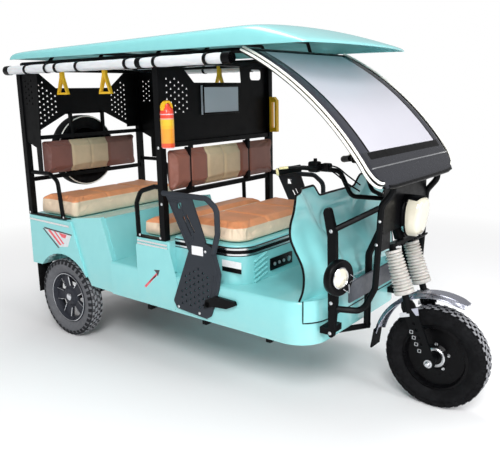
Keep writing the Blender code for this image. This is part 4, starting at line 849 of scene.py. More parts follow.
def driver_base_plan(grow=0.0, steps=10):
    """The driver's base from above, from its rear right corner round the front to its rear left one."""
    half, front, corner = BASE_HALF + grow, BASE_FRONT_X + grow, BASE_CORNER_R + grow
    plan = [(BASE_REAR_X + 0.0005, -half), (0.06, -half)]
    for start, side in ((-90, -1), (0, 1)):
        for step in range(steps + 1):
            angle = math.radians(start + 90 * step / steps)
            plan.append((front - corner + corner * math.cos(angle),
                         side * (half - corner) + corner * math.sin(angle)))
    return plan + [(0.06, half), (BASE_REAR_X + 0.0005, half)]


def driver_base(bm):
    low_z = FLOOR_Z + 0.0003
    # height, how far the skin stands in from the plan
    levels = ((low_z, 0.0), (0.60, 0.0), (0.66, 0.0), (0.728, 0.0), (0.7325, -0.0015), (0.7365, -0.0055),
              (BASE_TOP_Z, -0.0115))
    loft(bm, [[(max(x, BASE_REAR_X), y, z) for x, y in driver_base_plan(grow)] for z, grow in levels])


one(driver_base, "driver_base", AQUA, slot="body", replaces=["driver_seat_base"], angle=35)

one(lambda bm: band(bm, driver_base_plan(), 0.682, 0.728, 0.0020), "driver_base_band", BLACK_ABS,
    slot="bright_steel")
bm = bmesh.new()
for low, high in ((0.7125, 0.7235), (0.6860, 0.6965)):
    band(bm, driver_base_plan(), low, high, 0.0050)
piece(bm, "driver_base_strips", STRIP_METAL, slot="bright_steel")


def base_details(bm):
    """Slanted louvres pressed into the front right corner of the driver's base."""
    plan = [Vector(p).to_3d() for p in driver_base_plan(steps=16)]
    front = [p for p in plan if -0.345 < p.y < -0.235]
    for i in range(5):
        low = 0.560 + i * 0.0255
        path = [Vector((p.x + 0.0005, p.y, low + (p.y + 0.29) * 0.28)) for p in front]
        sweep(bm, path + [Vector((BASE_FRONT_X + 0.0005, -0.240, low + 0.014))], 0.0075, 8, 0.8)


one(base_details, "base_louvres", AQUA, slot="body")

one(lambda bm: block(bm, (BASE_FRONT_X - 0.004, -0.211, 0.572), (BASE_FRONT_X + 0.007, -0.016, 0.634),
                     0.003, 2), "switch_panel", BLACK_ABS, slot="nose")
bm = bmesh.new()
for y, z, half in ((-0.180, 0.603, 0.009), (-0.140, 0.603, 0.009), (-0.100, 0.603, 0.009),
                   (-0.052, 0.603, 0.014)):
    lathe(bm, [(0.0004, 0.006), (half * 0.8, 0.006), (half, 0.004), (half, -0.001), (0.0004, -0.001)],
          (BASE_FRONT_X + 0.007, y, z), "X", 24)
piece(bm, "switch_knobs", ZINC, slot="bright_steel")

one(lambda bm: block(bm, (0.221, -BASE_HALF - 0.0012, 0.6285), (0.340, -BASE_HALF + 0.001, 0.662), 0.0004,
                     1), "blank_label", WHITE_PLATE, slot="card")
one(lambda bm: block(bm, (0.221, -BASE_HALF - 0.0012, 0.605), (0.340, -BASE_HALF + 0.001, 0.628), 0.0004,
                     1), "blank_label_foot", BLACK_ABS, slot="card")


# the leg shield's side edge, x and height
SHIELD_EDGE = through([(0.682, 0.5413), (0.700, 0.590), (0.706, 0.650), (0.696, 0.706), (0.664, 0.766),
                       (0.636, 0.834), (0.636, 0.906), (0.654, 0.980), (0.664, 1.062)], 8)


def beyond(y, z, line):
    """How far a place lies to the middle's side of a slanted line, both in Y and Z."""
    (y0, z0), (y1, z1) = line[0], line[-1]
    for (ya, za), (yb, zb) in zip(line, line[1:]):
        if z >= zb:
            y0, z0, y1, z1 = ya, za, yb, zb
            break
    at = y0 + (y1 - y0) * (z0 - z) / (z0 - z1)
    return y - at


def shield_place(u, v):
    """The leg shield's outer face: bowed, notched over the steering, with a folded ridge on each side."""
    edge = at_share(SHIELD_EDGE, v)
    x, z = edge.x, edge.y
    y = SHIELD_HALF * (2 * u - 1)
    side = 1 - (y / SHIELD_HALF) ** 2
    rise = (z - 0.5413) / (SHIELD_TOP_Z - 0.5413)
    fold_out = beyond(-abs(y), z, ((-0.366, 1.005), (-0.226, 0.834), (-0.167, 0.689)))
    fold_in = beyond(-abs(y), z, ((-0.215, 0.984), (-0.037, 0.815)))
    width = max(0.02, fold_out - fold_in)
    fade = ease((z - 0.66) / 0.10)
    notch, shoulder = ease((0.240 - abs(y)) / 0.080), ease((abs(y) - 0.360) / 0.090)
    z -= (0.032 + 0.013 * shoulder + 0.055 * notch) * max(0.0, rise - 0.4) / 0.6
    step = -0.024 * ease(fold_out / (0.6 * width)) * fade
    hollow = -0.016 * ease((0.17 - abs(y)) / 0.06) * ease((0.93 - z) / 0.05) * ease((z - 0.60) / 0.05)
    return (x + 0.050 * side * (1 - rise) - 0.032 * side * rise + step + hollow, y, z)


one(lambda bm: skin(bm, 96, 56, shield_place, 0.006, (1, 0, 0)), "leg_shield_panel", AQUA, slot="body",
    replaces=["leg_shield"], angle=60)
bm = bmesh.new()
edge = [Vector(shield_place(0, i / 40)) for i in range(41)]
edge += [Vector(shield_place(i / 80, 1)) for i in range(1, 81)]
edge += [Vector(shield_place(1, 1 - i / 40)) for i in range(1, 41)]
sweep(bm, [p + Vector((-0.002, 0, 0)) for p in edge], 0.0052, 10)
piece(bm, "leg_shield_edging", BLACK_ABS, slot="frame_paint")


def shield_foot(u, v):
    """The shield's foot, lapped down over the tub's round front."""
    y = SHIELD_HALF * (2 * u - 1)
    turned = max(0.0, abs(y) - (BODY_HALF - FLOOR_CORNER_R))
    x = FLOOR_FRONT_X - FLOOR_CORNER_R + math.sqrt(FLOOR_CORNER_R ** 2 - turned ** 2)
    return (x + 0.0042, y, 0.545 - 0.103 * v)


one(lambda bm: skin(bm, 96, 6, shield_foot, 0.0040, (1, 0, 0)), "leg_shield_foot", AQUA, slot="body",
    angle=60)
bm = bmesh.new()
edge = [Vector(shield_foot(0, i / 6)) for i in range(7)]
edge += [Vector(shield_foot(i / 80, 1)) for i in range(1, 81)]
edge += [Vector(shield_foot(1, 1 - i / 6)) for i in range(1, 7)]
sweep(bm, edge, 0.0030, 8)
piece(bm, "shield_foot_edging", BLACK_ABS, slot="frame_paint")


# Front mudguard

def guard_place(u, v):
    share = abs(2 * u - 1)
    angle = math.radians(64 + 104 * v)
    narrow = 1.0 - 0.30 * (1 - ease(v / 0.07))
    reach = 0.310 - 0.018 * ease((share - 0.60) / 0.40)
    return (FRONT_AXLE.x + reach * math.cos(angle), 0.052 * narrow * (2 * u - 1),
            FRONT_AXLE.z + reach * math.sin(angle))


bm = bmesh.new()
skin(bm, 20, 56, guard_place, 0.003, (0, 0, 1))
for side in (-1, 1):
    block(bm, (1.022, side * 0.047 - 0.002, 0.512), (1.040, side * 0.047 + 0.002, 0.526), 0.001, 1)
    block(bm, (1.022, min(side * 0.046, side * 0.084), 0.5125),
          (1.040, max(side * 0.046, side * 0.084), 0.5165), 0.001, 1)
    tab = [(1.060, 0.484), (1.092, 0.496), (1.098, 0.460), (1.084, 0.458)]
    plate(bm, tab, 0.003, "xz", side * 0.1085)
piece(bm, "chrome_mudguard", GUARD_CHROME, body="fork", slot="bright_steel", replaces=["front_mudguard"],
      angle=50)
one(lambda bm: plate(bm, [(0.8475, 0.318), (0.8515, 0.312), (0.8400, 0.219), (0.8310, 0.219)], 0.088, "xz",
                     0.0), "mudguard_flap", RUBBER, body="fork", slot="tyre")


# Roof

def roof_skin():
    """One continuous moulded sheet with a crowned top, turned-down edges and a drooping front."""
    line = ((-1.335, 1.664), (-1.331, 1.690), (-1.316, 1.703), (-1.285, 1.711), (-1.000, 1.7165),
            (-0.700, 1.722), (-0.400, 1.727), (-0.130, 1.732), (0.150, 1.738), (0.380, 1.7415),
            (0.446, 1.7405), (0.520, 1.725), (0.600, 1.705), (0.680, 1.683), (0.735, 1.668), (0.765, 1.657),
            (0.775, 1.650))
    span = ((0.490, 1.0), (0.4895, 0.75), (0.487, 0.45), (0.480, 0.27), (0.462, 0.14), (0.438, 0.05),
            (0.330, -0.05), (0.220, -0.10), (0.110, -0.13), (0.0, -0.14))
    rows = len(line) - 1
    cols = (len(span) - 1) * 2
    bm = bmesh.new()
    bmesh.ops.create_grid(bm, x_segments=rows, y_segments=cols, size=1)
    for vert in bm.verts:
        i = round((vert.co.x + 1) / 2 * rows)
        j = round((vert.co.y + 1) / 2 * cols)
        x, top = line[i]
        edge = span[j] if j < len(span) else span[cols - j]
        y, drop = edge
        if j >= len(span):
            y = -y
        share = (x + 1.335) / 2.110
        rim = 1.662 - 0.018 * share
        tuck = 0.055 * max(0.0, x - 0.446) / 0.329 * abs(y / 0.490) ** 3
        vert.co = (x - tuck, -y, max(top + (rim - top) * drop, rim))
    bmesh.ops.recalc_face_normals(bm, faces=bm.faces)
    if sum(f.normal.z for f in bm.faces) < 0:
        bmesh.ops.reverse_faces(bm, faces=bm.faces)
    bmesh.ops.solidify(bm, geom=bm.faces[:], thickness=0.0075)
    made = piece(bm, "roof_skin", AQUA, slot="body", replaces=["roof_shell"], angle=50, inverted=False)
    sub = made.modifiers.new("smooth", "SUBSURF")
    sub.levels = sub.render_levels = 1


roof_skin()


# Curtains

def curtain(bm):
    """A loosely rolled sheet: a round bundle whose skin bulges between its straps."""
    low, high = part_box("curtain_roll_right")
    centre_y, centre_z = (low.y + high.y) / 2, (low.z + high.z) / 2
    radius = 0.0262
    straps = (-1.140, -0.946, -0.856, -0.673, -0.291, -0.199, -0.089, 0.230)
    steps = 150
    ring = None
    for i in range(steps + 1):
        x = low.x + (high.x - low.x) * i / steps
        if ring is None:
            turn = Matrix.Translation((x, centre_y, centre_z)) @ Matrix.Rotation(math.pi / 2, 4, "Y")
            verts = bmesh.ops.create_circle(bm, cap_ends=False, segments=28, radius=radius,
                                            matrix=turn)["verts"]
            bmesh.ops.contextual_create(bm, geom=verts)
            ring = list({e for v in verts for e in v.link_edges})
        else:
            grown = bmesh.ops.extrude_edge_only(bm, edges=ring)["geom"]
            verts = [g for g in grown if isinstance(g, bmesh.types.BMVert)]
            inside = set(verts)
            ring = [g for g in grown if isinstance(g, bmesh.types.BMEdge)
                    and all(v in inside for v in g.verts)]
            for vert in verts:
                vert.co.x = x
        pinch = min(abs(x - s) for s in straps)
        squeeze = 1.0 - 0.12 * math.exp(-(pinch / 0.018) ** 2)
        for vert in verts:
            arm = Vector((0, vert.co.y - centre_y, vert.co.z - centre_z)).normalized()
            fold = noise.noise(Vector((x * 6.0, arm.y * 1.6, arm.z * 1.6))) * 0.10
            fold += noise.noise(Vector((x * 22.0, arm.y * 3.5, arm.z * 3.5))) * 0.05
            reach = radius * squeeze * min(1.0, 0.93 + fold)
            vert.co.y, vert.co.z = centre_y + arm.y * reach, centre_z + arm.z * reach
    bmesh.ops.contextual_create(bm, geom=verts)


for made in both(curtain, "rolled_curtain", CURTAIN, slot="curtain", replaces="curtain_roll", angle=80):
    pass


def curtain_straps(bm):
    low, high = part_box("curtain_roll_right")
    centre_y, centre_z = (low.y + high.y) / 2, (low.z + high.z) / 2
    for x in (-1.140, -0.946, -0.856, -0.673, -0.291, -0.205, -0.190, -0.089, 0.230):
        profile = [(0.0236, -0.009), (0.0266, -0.009), (0.0266, 0.009), (0.0236, 0.009), (0.0236, -0.009)]
        lathe(bm, profile, (x, centre_y, centre_z), "X", 28)
    for end, way in ((high.x, -1), (low.x, 1)):
        lathe(bm, [(0.0005, 0.0), (0.0262, 0.0), (0.0269, way * 0.010), (0.0269, way * 0.045),
                   (0.0245, way * 0.046), (0.0005, way * 0.046)], (end, centre_y, centre_z), "X", 28)


both(curtain_straps, "curtain_straps", BLACK_ABS, slot="curtain")


# Gaiters

def gaiter(bm):
    """Bellows with twelve ribs between two cuffs, wider towards the foot."""
    low_z, top_z = 0.548, 0.743
    foot, head = along_fork(low_z, -FORK_HALF), along_fork(top_z, -FORK_HALF)
    length = (head - foot).length
    ribs = 12
    profile = [(0.018, 0.0), (0.042, 0.0), (0.0455, 0.003), (0.0455, 0.018)]
    span = length - 0.032
    for i in range(ribs):
        start = 0.019 + span * i / ribs
        wide = 0.0460 - 0.008 * i / ribs
        for share, cut_in in ((0.05, 0.0120), (0.24, 0.0030), (0.42, 0.0002), (0.58, 0.0002),
                              (0.76, 0.0030), (0.95, 0.0120)):
            profile.append((wide - cut_in, start + span / ribs * share))
    profile += [(0.0375, length - 0.012), (0.0375, length), (0.018, length), (0.018, 0.0)]
    lathe(bm, profile, foot, head - foot, 44)


both(gaiter, "fork_bellows", GAITER, body="fork", slot="gaiter", replaces="gaiter", angle=60)


# Windscreen, nose and beading

def screen_place(angle, rise=0.0):
    """x and z on the windscreen's arc, standing out from the side tubes' centre line by the rise."""
    turn = math.radians(angle)
    reach = SCREEN_R + rise
    return SCREEN_X + reach * math.cos(turn), SCREEN_Z + reach * math.sin(turn)


def pane_place(u, v):
    """The pane's outer face, turned back to the side tubes at its edges."""
    y = 0.4236 * math.sin((u - 0.5) * math.pi)
    back = ease((abs(y) - 0.404) / 0.0196)
    x, z = screen_place(SCREEN_TOP + (SCREEN_FOOT - SCREEN_TOP) * v, PANE_RISE - 0.016 * back)
    return x, y, z


one(lambda bm: skin(bm, 44, 48, pane_place, 0.004, (1, 0, 0.6)), "bowed_windscreen", PANE, slot="pane",
    replaces=["windscreen_glass"], angle=60)

# the nose's profile, height and x, from the pane's foot down
NOSE_LINE = through([(1.2065, 0.9520), (1.170, 0.9800), (1.130, 1.0085), (1.100, 1.0290), (1.080, 1.0400),
                     (1.066, 1.0455)], 6)


def nose_x(y, z):
    for (z0, x0), (z1, x1) in zip(NOSE_LINE, NOSE_LINE[1:]):
        if z0 >= z >= z1:
            break
    return x0 + (x1 - x0) * (z0 - z) / (z0 - z1) - 0.010 * ease((abs(y) - 0.404) / 0.0215)


def nose_place(u, v):
    """The nose's outer face. Its lower corners keep inside the screen frame's round ones."""
    y = 0.4255 * math.sin((u - 0.5) * math.pi)
    inside = abs(y) - (SCREEN_HALF - SCREEN_CORNER_R)
    inner_r = SCREEN_CORNER_R - 0.0132
    low = 1.066
    if inside > 0:
        drop = math.sqrt(max(0.0, inner_r ** 2 - min(inside, inner_r) ** 2))
        low = SCREEN_LOW[1] + SCREEN_CORNER_R - drop
    z = 1.2065 + (max(low, 1.066) - 1.2065) * v
    return nose_x(y, z), y, z


one(lambda bm: skin(bm, 60, 36, nose_place, 0.005, (1, 0, 0.6)), "nose_moulding", NOSE_GREY, slot="nose",
    replaces=["nose_panel"], angle=60)
one(lambda bm: skin(bm, 24, 6, lambda u, v: (nose_x(0.0, 1.206 - 0.026 * v) + 0.0007, 0.372 * (2 * u - 1),
                                             1.206 - 0.026 * v), 0.0006, (1, 0, 0.6)), "pane_foot_line",
    BLACK_ABS, slot="nose")
bm = bmesh.new()
sweep(bm, bent([(1.0400, -0.345, 1.070), (1.0460, -0.300, 1.066), (1.0480, 0.0, 1.065),
                (1.0460, 0.300, 1.066), (1.0400, 0.345, 1.070)], 0.05), 0.0085, 12)
block(bm, (1.000, -0.330, 1.057), (1.046, 0.330, 1.066), 0.003, 2)
piece(bm, "nose_lip", BLACK_ABS, slot="nose")
bm = bmesh.new()
line = [(nose_x(0.01 * i, 1.147) + 0.0015, 0.01 * i, 1.148) for i in range(-41, 42)]
sweep(bm, line, 0.0028, 8)
piece(bm, "nose_chrome_line", CHROME, slot="bright_steel")


def beading(bm, angle, radius):
    """A bead laid along the screen frame's tube, turned about the tube by the angle from straight outward."""
    out, ahead = math.cos(math.radians(angle)), math.sin(math.radians(angle))
    reach = 0.0125 + radius * 0.75
    centre_y, centre_z = -SCREEN_HALF + SCREEN_CORNER_R, SCREEN_LOW[1] + SCREEN_CORNER_R
    # the tube's own line: down the side, then round the lower corner
    tube = [(0.0, -SCREEN_HALF, 1.632 + (centre_z - 1.632) * i / 30) for i in range(31)]
    for i in range(1, 13):
        turn = math.radians(180 + 7.5 * i)
        tube.append((turn, centre_y + SCREEN_CORNER_R * math.cos(turn),
                     centre_z + SCREEN_CORNER_R * math.sin(turn)))
    path = []
    for turn, y, z in tube:
        x = SCREEN_X + math.sqrt(SCREEN_R ** 2 - (z - SCREEN_Z) ** 2)
        normal = Vector((x - SCREEN_X, 0, z - SCREEN_Z)).normalized()
        aside = Vector((0, math.cos(turn), math.sin(turn))) if turn else Vector((0, -1, 0))
        path.append(Vector((x, y, z)) + normal * reach * ahead + aside * reach * out)
    sweep(bm, path, radius, 10)


bm = bmesh.new()
for angle in (10, 68):
    beading(bm, angle, 0.0058)
bmesh.ops.mirror(bm, geom=bm.verts[:] + bm.edges[:] + bm.faces[:], axis="Y", merge_dist=0)
piece(bm, "windscreen_beading", CREAM_TRIM, slot="nose")


# Trim strips, decals and small fittings

def trim_strip(bm, path, y, half=0.006, depth=0.003):
    for start, end in zip(path, path[1:]):
        plate(bm, [(start[0], start[1] - half), (end[0], end[1] - half), (end[0], end[1] + half),
                   (start[0], start[1] + half)], depth, "xz", y)


def fender_strip(bm):
    trim_strip(bm, [(-1.296, 0.709), (-0.905, 0.699)], -(BODY_HALF + 0.0016), 0.0055, 0.004)


both(fender_strip, "fender_strip", STRIP_METAL, slot="bright_steel")


def mid_strip(bm):
    trim_strip(bm, [(-0.322, 0.699), (-0.100, 0.695)], -(BODY_HALF - 0.0004), 0.0045, 0.0045)
    trim_strip(bm, [(-0.322, 0.682), (-0.100, 0.678)], -(BODY_HALF - 0.0004), 0.0045, 0.0045)


both(mid_strip, "mid_box_strip", STRIP_METAL, slot="bright_steel")

# plain slanted decals: outline in x and z
FENDER_FIELD = [(-1.150, 0.660), (-1.096, 0.664), (-0.892, 0.650), (-0.933, 0.572), (-1.011, 0.563)]
FENDER_RED = ([(-1.118, 0.655), (-1.092, 0.657), (-0.992, 0.578), (-1.010, 0.572)],
              [(-1.060, 0.655), (-1.044, 0.655), (-0.966, 0.588), (-0.978, 0.582)],
              [(-1.010, 0.650), (-0.935, 0.645), (-0.950, 0.622), (-0.985, 0.625)])
FENDER_DARK = ([(-1.169, 0.658), (-1.158, 0.660), (-1.016, 0.556), (-1.028, 0.553)],
               [(-1.158, 0.660), (-1.150, 0.669), (-0.884, 0.653), (-0.888, 0.646)])
MID_RED = ([(-0.284, 0.447), (-0.276, 0.455), (-0.186, 0.537), (-0.178, 0.530), (-0.270, 0.443)],
           [(-0.262, 0.466), (-0.254, 0.472), (-0.190, 0.527), (-0.184, 0.520)])
MID_DARK = ([(-0.205, 0.552), (-0.160, 0.557), (-0.176, 0.521), (-0.186, 0.538)],)


def decal(name, material, outlines, y, slot="body"):
    bm = bmesh.new()
    for side in (-1, 1):
        for outline in outlines:
            plate(bm, outline, 0.0006, "xz", side * y)
    piece(bm, name, material, slot=slot)


decal("fender_decal_field", DECAL_GREY, (FENDER_FIELD,), BODY_HALF + 0.0002)
decal("fender_decal_red", DECAL_RED, FENDER_RED, BODY_HALF + 0.0006)
decal("fender_decal_dark", DECAL_DARK, FENDER_DARK, BODY_HALF + 0.0007)
decal("mid_decal_red", DECAL_RED, MID_RED, BODY_HALF + 0.0029)
decal("mid_decal_dark", DECAL_DARK, MID_DARK, BODY_HALF + 0.0031)


def mid_skirt(bm):
    """The panel below the middle box, in one face from the box down to the sill's foot."""
    plate(bm, [(-0.332, 0.676), (-0.086, 0.676), (-0.035, 0.500), (-0.060, 0.357), (-0.332, 0.357)], 0.0030,
          "xz", -BODY_HALF - 0.0012)


both(mid_skirt, "mid_box_skirt", AQUA, slot="body")


def frame_bolts(bm):
    """Bright bolt heads on the posts' feet, the armrests, the side guard and the front."""
    y = -POST_Y - 0.018
    bolts(bm, [(x, y, z) for x, z in ((-0.301, 0.728), (-0.149, 0.728), (-1.290, 0.748), (-0.955, 0.748))],
          0.0055)
    bolts(bm, [(x, y, z) for x, z in ((-0.128, 0.907), (-0.132, 1.190))], 0.0060)
    bolts(bm, [(x, -0.4905, z) for x, z in ((-0.026, 0.388), (0.116, 0.380), (0.167, 0.704))], 0.0060)
    bolts(bm, [(x, -STRIP_Y - 0.0005, z) for x, z in ((0.808, 0.868), (0.812, 0.546), (0.808, 0.405))],
          0.0065)
    bolts(bm, [(0.968, -0.266, 0.905), (0.955, -0.266, 0.800)], 0.0055)


both(frame_bolts, "frame_bolts", ZINC, slot="bright_steel")


def guard_plate(bm):
    block(bm, (0.080, -0.4925, 0.680), (0.153, -0.4895, 0.725), 0.001, 1)


both(guard_plate, "blank_guard_plate", WHITE_PLATE, slot="card")


def guard_rib(bm):
    """Raised frame of the side guard's upper arm and the fold of its lower plate."""
    y = -0.4905
    for path in ([(-0.066, 0.938), (0.000, 0.938), (0.094, 0.762), (0.062, 0.726), (-0.066, 0.938)],
                 [(0.196, 0.400), (0.236, 0.600), (0.205, 0.700)], [(0.186, 0.470), (0.215, 0.590)]):
        sweep(bm, bent([(x, y, z) for x, z in path], 0.012, 3), 0.0030, 8)


both(guard_rib, "side_guard_ribs", GUARD_GREY, slot="plate_grey")


def pedal(bm):
    """Black hand lever beside the driver's base, on its pivot."""
    outline = [(0.150, 0.4150), (0.209, 0.4350), (0.296, 0.4410), (0.352, 0.4680), (0.346, 0.4860),
               (0.300, 0.4880), (0.225, 0.4910), (0.162, 0.4600)]
    plate(bm, outline, 0.016, "xz", -0.490)
    rod(bm, (0.175, -0.478, 0.440), (0.175, -0.498, 0.440), 0.015, 0.015, 20)


one(pedal, "parking_lever", BLACK_ABS, slot="frame_paint")


def mud_flap(bm):
    """Rubber flap behind the rear wheel, over the body's own tongue."""
    block(bm, (-1.2645, -0.4795, 0.238), (-1.2565, -0.3735, 0.422), 0.001, 1)


both(mud_flap, "rear_mud_flap", RUBBER, slot="tyre")


def rail_sleeve(bm):
    """Black hose over the hand rail, between its yellow handles."""
    low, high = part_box("grab_rail_right")
    z = high.z - 0.008
    for start, end in ((low.x, -0.998), (-0.972, -0.623), (-0.597, high.x)):
        rod(bm, (start + 0.0003, -0.385, z), (end - 0.0003, -0.385, z), 0.0088, 0.0088, 16)


one(rail_sleeve, "hand_rail_sleeve_right", BLACK_ABS, slot="frame_paint")
bm = bmesh.new()
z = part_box("grab_rail_left")[1].z - 0.008
for start, end in ((-1.2707, -0.998), (-0.972, -0.463), (-0.437, -0.1443)):
    rod(bm, (start + 0.0003, 0.385, z), (end - 0.0003, 0.385, z), 0.0088, 0.0088, 16)
piece(bm, "hand_rail_sleeve_left", BLACK_ABS, slot="frame_paint")


# Headlamp and lamp pods

LAMP_Z = 0.890


def lamp_ring(x, wide, tall, lean=0.0, steps=48):
    """A rounded shield outline across X, taller than wide, its upper half leaning forward."""
    ring = []
    for i in range(steps):
        angle = math.tau * i / steps
        u, v = math.sin(angle), math.cos(angle)
        swell = 1.0 + 0.06 * math.sin(2 * angle) ** 2
        ring.append((x + lean * v, wide * u * swell, LAMP_Z + tall * v * swell))
    return ring


one(lambda bm: loft(bm, [lamp_ring(0.950, 0.022, 0.028), lamp_ring(0.954, 0.040, 0.050),
                         lamp_ring(0.963, 0.056, 0.070), lamp_ring(0.977, 0.0685, 0.0865),
                         lamp_ring(0.992, 0.0745, 0.0935)]), "headlamp_bowl", CHROME, slot="nose",
    replaces=["headlamp"], angle=50)
one(lambda bm: loft(bm, [lamp_ring(0.990, 0.0750, 0.0940), lamp_ring(0.994, 0.0765, 0.0955),
                         lamp_ring(0.999, 0.0760, 0.0950), lamp_ring(1.000, 0.0700, 0.0880)]),
    "headlamp_ring", BLACK_ABS, slot="bright_steel", angle=50)
one(lambda bm: loft(bm, [lamp_ring(0.999, 0.0745, 0.0930, 0.002), lamp_ring(1.042, 0.0735, 0.0915, 0.010),
                         lamp_ring(1.052, 0.0690, 0.0860, 0.011), lamp_ring(1.0565, 0.0600, 0.0750, 0.010),
                         lamp_ring(1.0595, 0.0350, 0.0440, 0.006), lamp_ring(1.0605, 0.0040, 0.0060)]),
    "headlamp_lens", LENS, slot="lamp", angle=80)
bm = bmesh.new()
rings = []
for i in range(17):
    angle = math.radians(-42 + 84 * i / 16)
    u, v = math.sin(angle), math.cos(angle)
    y, z = 0.0790 * u, LAMP_Z + 0.0980 * v
    ahead = 1.068 - 0.045 * abs(u)
    rings.append([(0.965, y, z), (ahead, y * 0.985, z - 0.001), (ahead, y * 0.955, z - 0.004),
                  (0.965, y * 0.96, z - 0.004)])
loft(bm, rings)
piece(bm, "headlamp_visor", BLACK_ABS, slot="nose", angle=35)
bm = bmesh.new()
sweep(bm, [(1.050, -0.064, 0.802), (1.055, -0.030, 0.802), (1.055, 0.030, 0.802), (1.050, 0.064, 0.802)],
      0.0045, 10)
for side in (-1, 1):
    block(bm, (1.046, side * 0.026 - 0.006, 0.799), (1.057, side * 0.026 + 0.006, 0.814), 0.002, 2)
piece(bm, "headlamp_bracket", BLACK_ABS, slot="frame_paint")
bm = bmesh.new()
block(bm, (0.966, -0.235, 0.842), (0.970, 0.235, 1.057), 0.001, 1)
for low, high in ((-0.250, -0.150), (0.150, 0.250)):
    block(bm, (0.962, low, 0.765), (0.966, high, 0.900), 0.001, 1)
piece(bm, "lamp_backing_plate", BLACK_ABS, slot="frame_paint")


POD = Vector((0.856, -0.428, 0.680))
# the fog lamps face 14 degrees outward
POD_FACE = Vector((math.cos(math.radians(14)), -math.sin(math.radians(14)), 0))


def pod_shell(bm):
    """Round black housing of the fog lamp with a rolled rim."""
    lathe(bm, [(0.0004, -0.026), (0.032, -0.026), (0.064, -0.018), (0.077, -0.006), (0.080, 0.010),
               (0.0795, 0.020), (0.075, 0.025), (0.066, 0.025), (0.055, 0.016), (0.0004, 0.014)], POD,
          POD_FACE, 56)
    rod(bm, (POD.x - 0.010, -0.400, POD.z), (POD.x - 0.048, -0.396, POD.z), 0.016, 0.016, 20)


both(pod_shell, "fog_lamp_housing", BLACK_ABS, slot="pod", replaces="lamp_pod")


def pod_lens(bm):
    lathe(bm, [(0.0004, 0.036), (0.016, 0.034), (0.030, 0.029), (0.040, 0.022), (0.041, 0.015),
               (0.0004, 0.015)], POD, POD_FACE, 48)


both(pod_lens, "fog_lamp_lens", LENS, slot="lamp")


def pod_trim(bm):
    """Bright ring round the lens and the wire triangles of the stone guard."""
    lathe(bm, [(0.040, 0.022), (0.043, 0.026), (0.047, 0.024), (0.047, 0.017), (0.040, 0.017),
               (0.040, 0.022)], POD, POD_FACE, 48)
    across = POD_FACE.cross(Vector((0, 0, 1)))
    for turn in (100, 150):
        corners = []
        for aside, reach in ((-20, 0.050), (0, 0.083), (20, 0.050)):
            angle = math.radians(turn + aside)
            corners.append(POD + POD_FACE * 0.032 - across * (math.sin(angle) * reach)
                           + Vector((0, 0, math.cos(angle) * reach)))
        sweep(bm, corners, 0.0026, 8)


both(pod_trim, "fog_lamp_trim", CHROME, slot="bright_steel")


# Handlebar fittings

def bar_fittings(bm):
    """Switch cluster and brake lever clamped inboard of the grip."""
    block(bm, (0.582, -0.232, 1.088), (0.634, -0.186, 1.138), 0.010, 3)
    block(bm, (0.628, -0.196, 1.092), (0.672, -0.152, 1.128), 0.009, 3)
    rod(bm, (0.615, -0.215, 1.130), (0.615, -0.215, 1.152), 0.010, 0.008, 16)
    sweep(bm, through([(0.640, -0.196, 1.112), (0.618, -0.248, 1.116), (0.560, -0.290, 1.118),
                       (0.500, -0.330, 1.112)], 6), 0.0055, 8, 1.0)


both(bar_fittings, "bar_fittings", BLACK_ABS, body="fork", slot="frame_paint")


def control_cable(name, points):
    """A black cable from the bar's fittings down behind the nose."""
    path = through(points, 12)
    bm = bmesh.new()
    sweep(bm, path, 0.0035, 10)
    made = piece(bm, name, BLACK_ABS, body="fork", slot="frame_paint", angle=80)


control_cable("throttle_cable", [(0.668, -0.170, 1.118), (0.705, -0.158, 1.106), (0.742, -0.140, 1.073),
                                 (0.790, -0.105, 1.028)])
control_cable("brake_cable", [(0.668, -0.178, 1.100), (0.700, -0.168, 1.078), (0.742, -0.148, 1.040),
                              (0.790, -0.110, 1.000)])


def lever_tips(bm):
    sweep(bm, [(0.530, -0.311, 1.1155), (0.512, -0.323, 1.1135), (0.496, -0.333, 1.1115)], 0.0062, 10)
    rod(bm, (0.4755, -0.3120, 1.0921), (0.4680, -0.3185, 1.0906), 0.0182, 0.0160, 20)


both(lever_tips, "lever_tips", HANDLE_CREAM, body="fork", slot="card")


def shackle_details(bm):
    """Bright rims of the four holes in each fork plate, its clip and the axle nuts."""
    y = -FORK_HALF - 0.0055
    for x, z in ((1.064, 0.374), (1.077, 0.349), (1.090, 0.320), (1.106, 0.291)):
        rim = [(x - 0.007, z - 0.007), (x + 0.007, z - 0.007), (x + 0.007, z + 0.007),
               (x - 0.007, z + 0.007)]
        for (x0, z0), (x1, z1) in zip(rim, rim[1:] + rim[:1]):
            rod(bm, (x0, y, z0), (x1, y, z1), 0.0014, 0.0014, 6)
    plate(bm, [(1.006, 0.452), (1.050, 0.467), (1.054, 0.446), (1.007, 0.432)], 0.004, "xz", y - 0.001)
    lathe(bm, [(0.0004, 0.020), (0.008, 0.019), (0.013, 0.013), (0.014, 0.006), (0.019, 0.005),
               (0.019, 0.0), (0.0004, 0.0)], (FRONT_AXLE.x, y, FRONT_AXLE.z), (0, -1, 0), 24)


both(shackle_details, "fork_bright_fittings", ZINC, body="fork", slot="bright_steel")


# Extinguisher

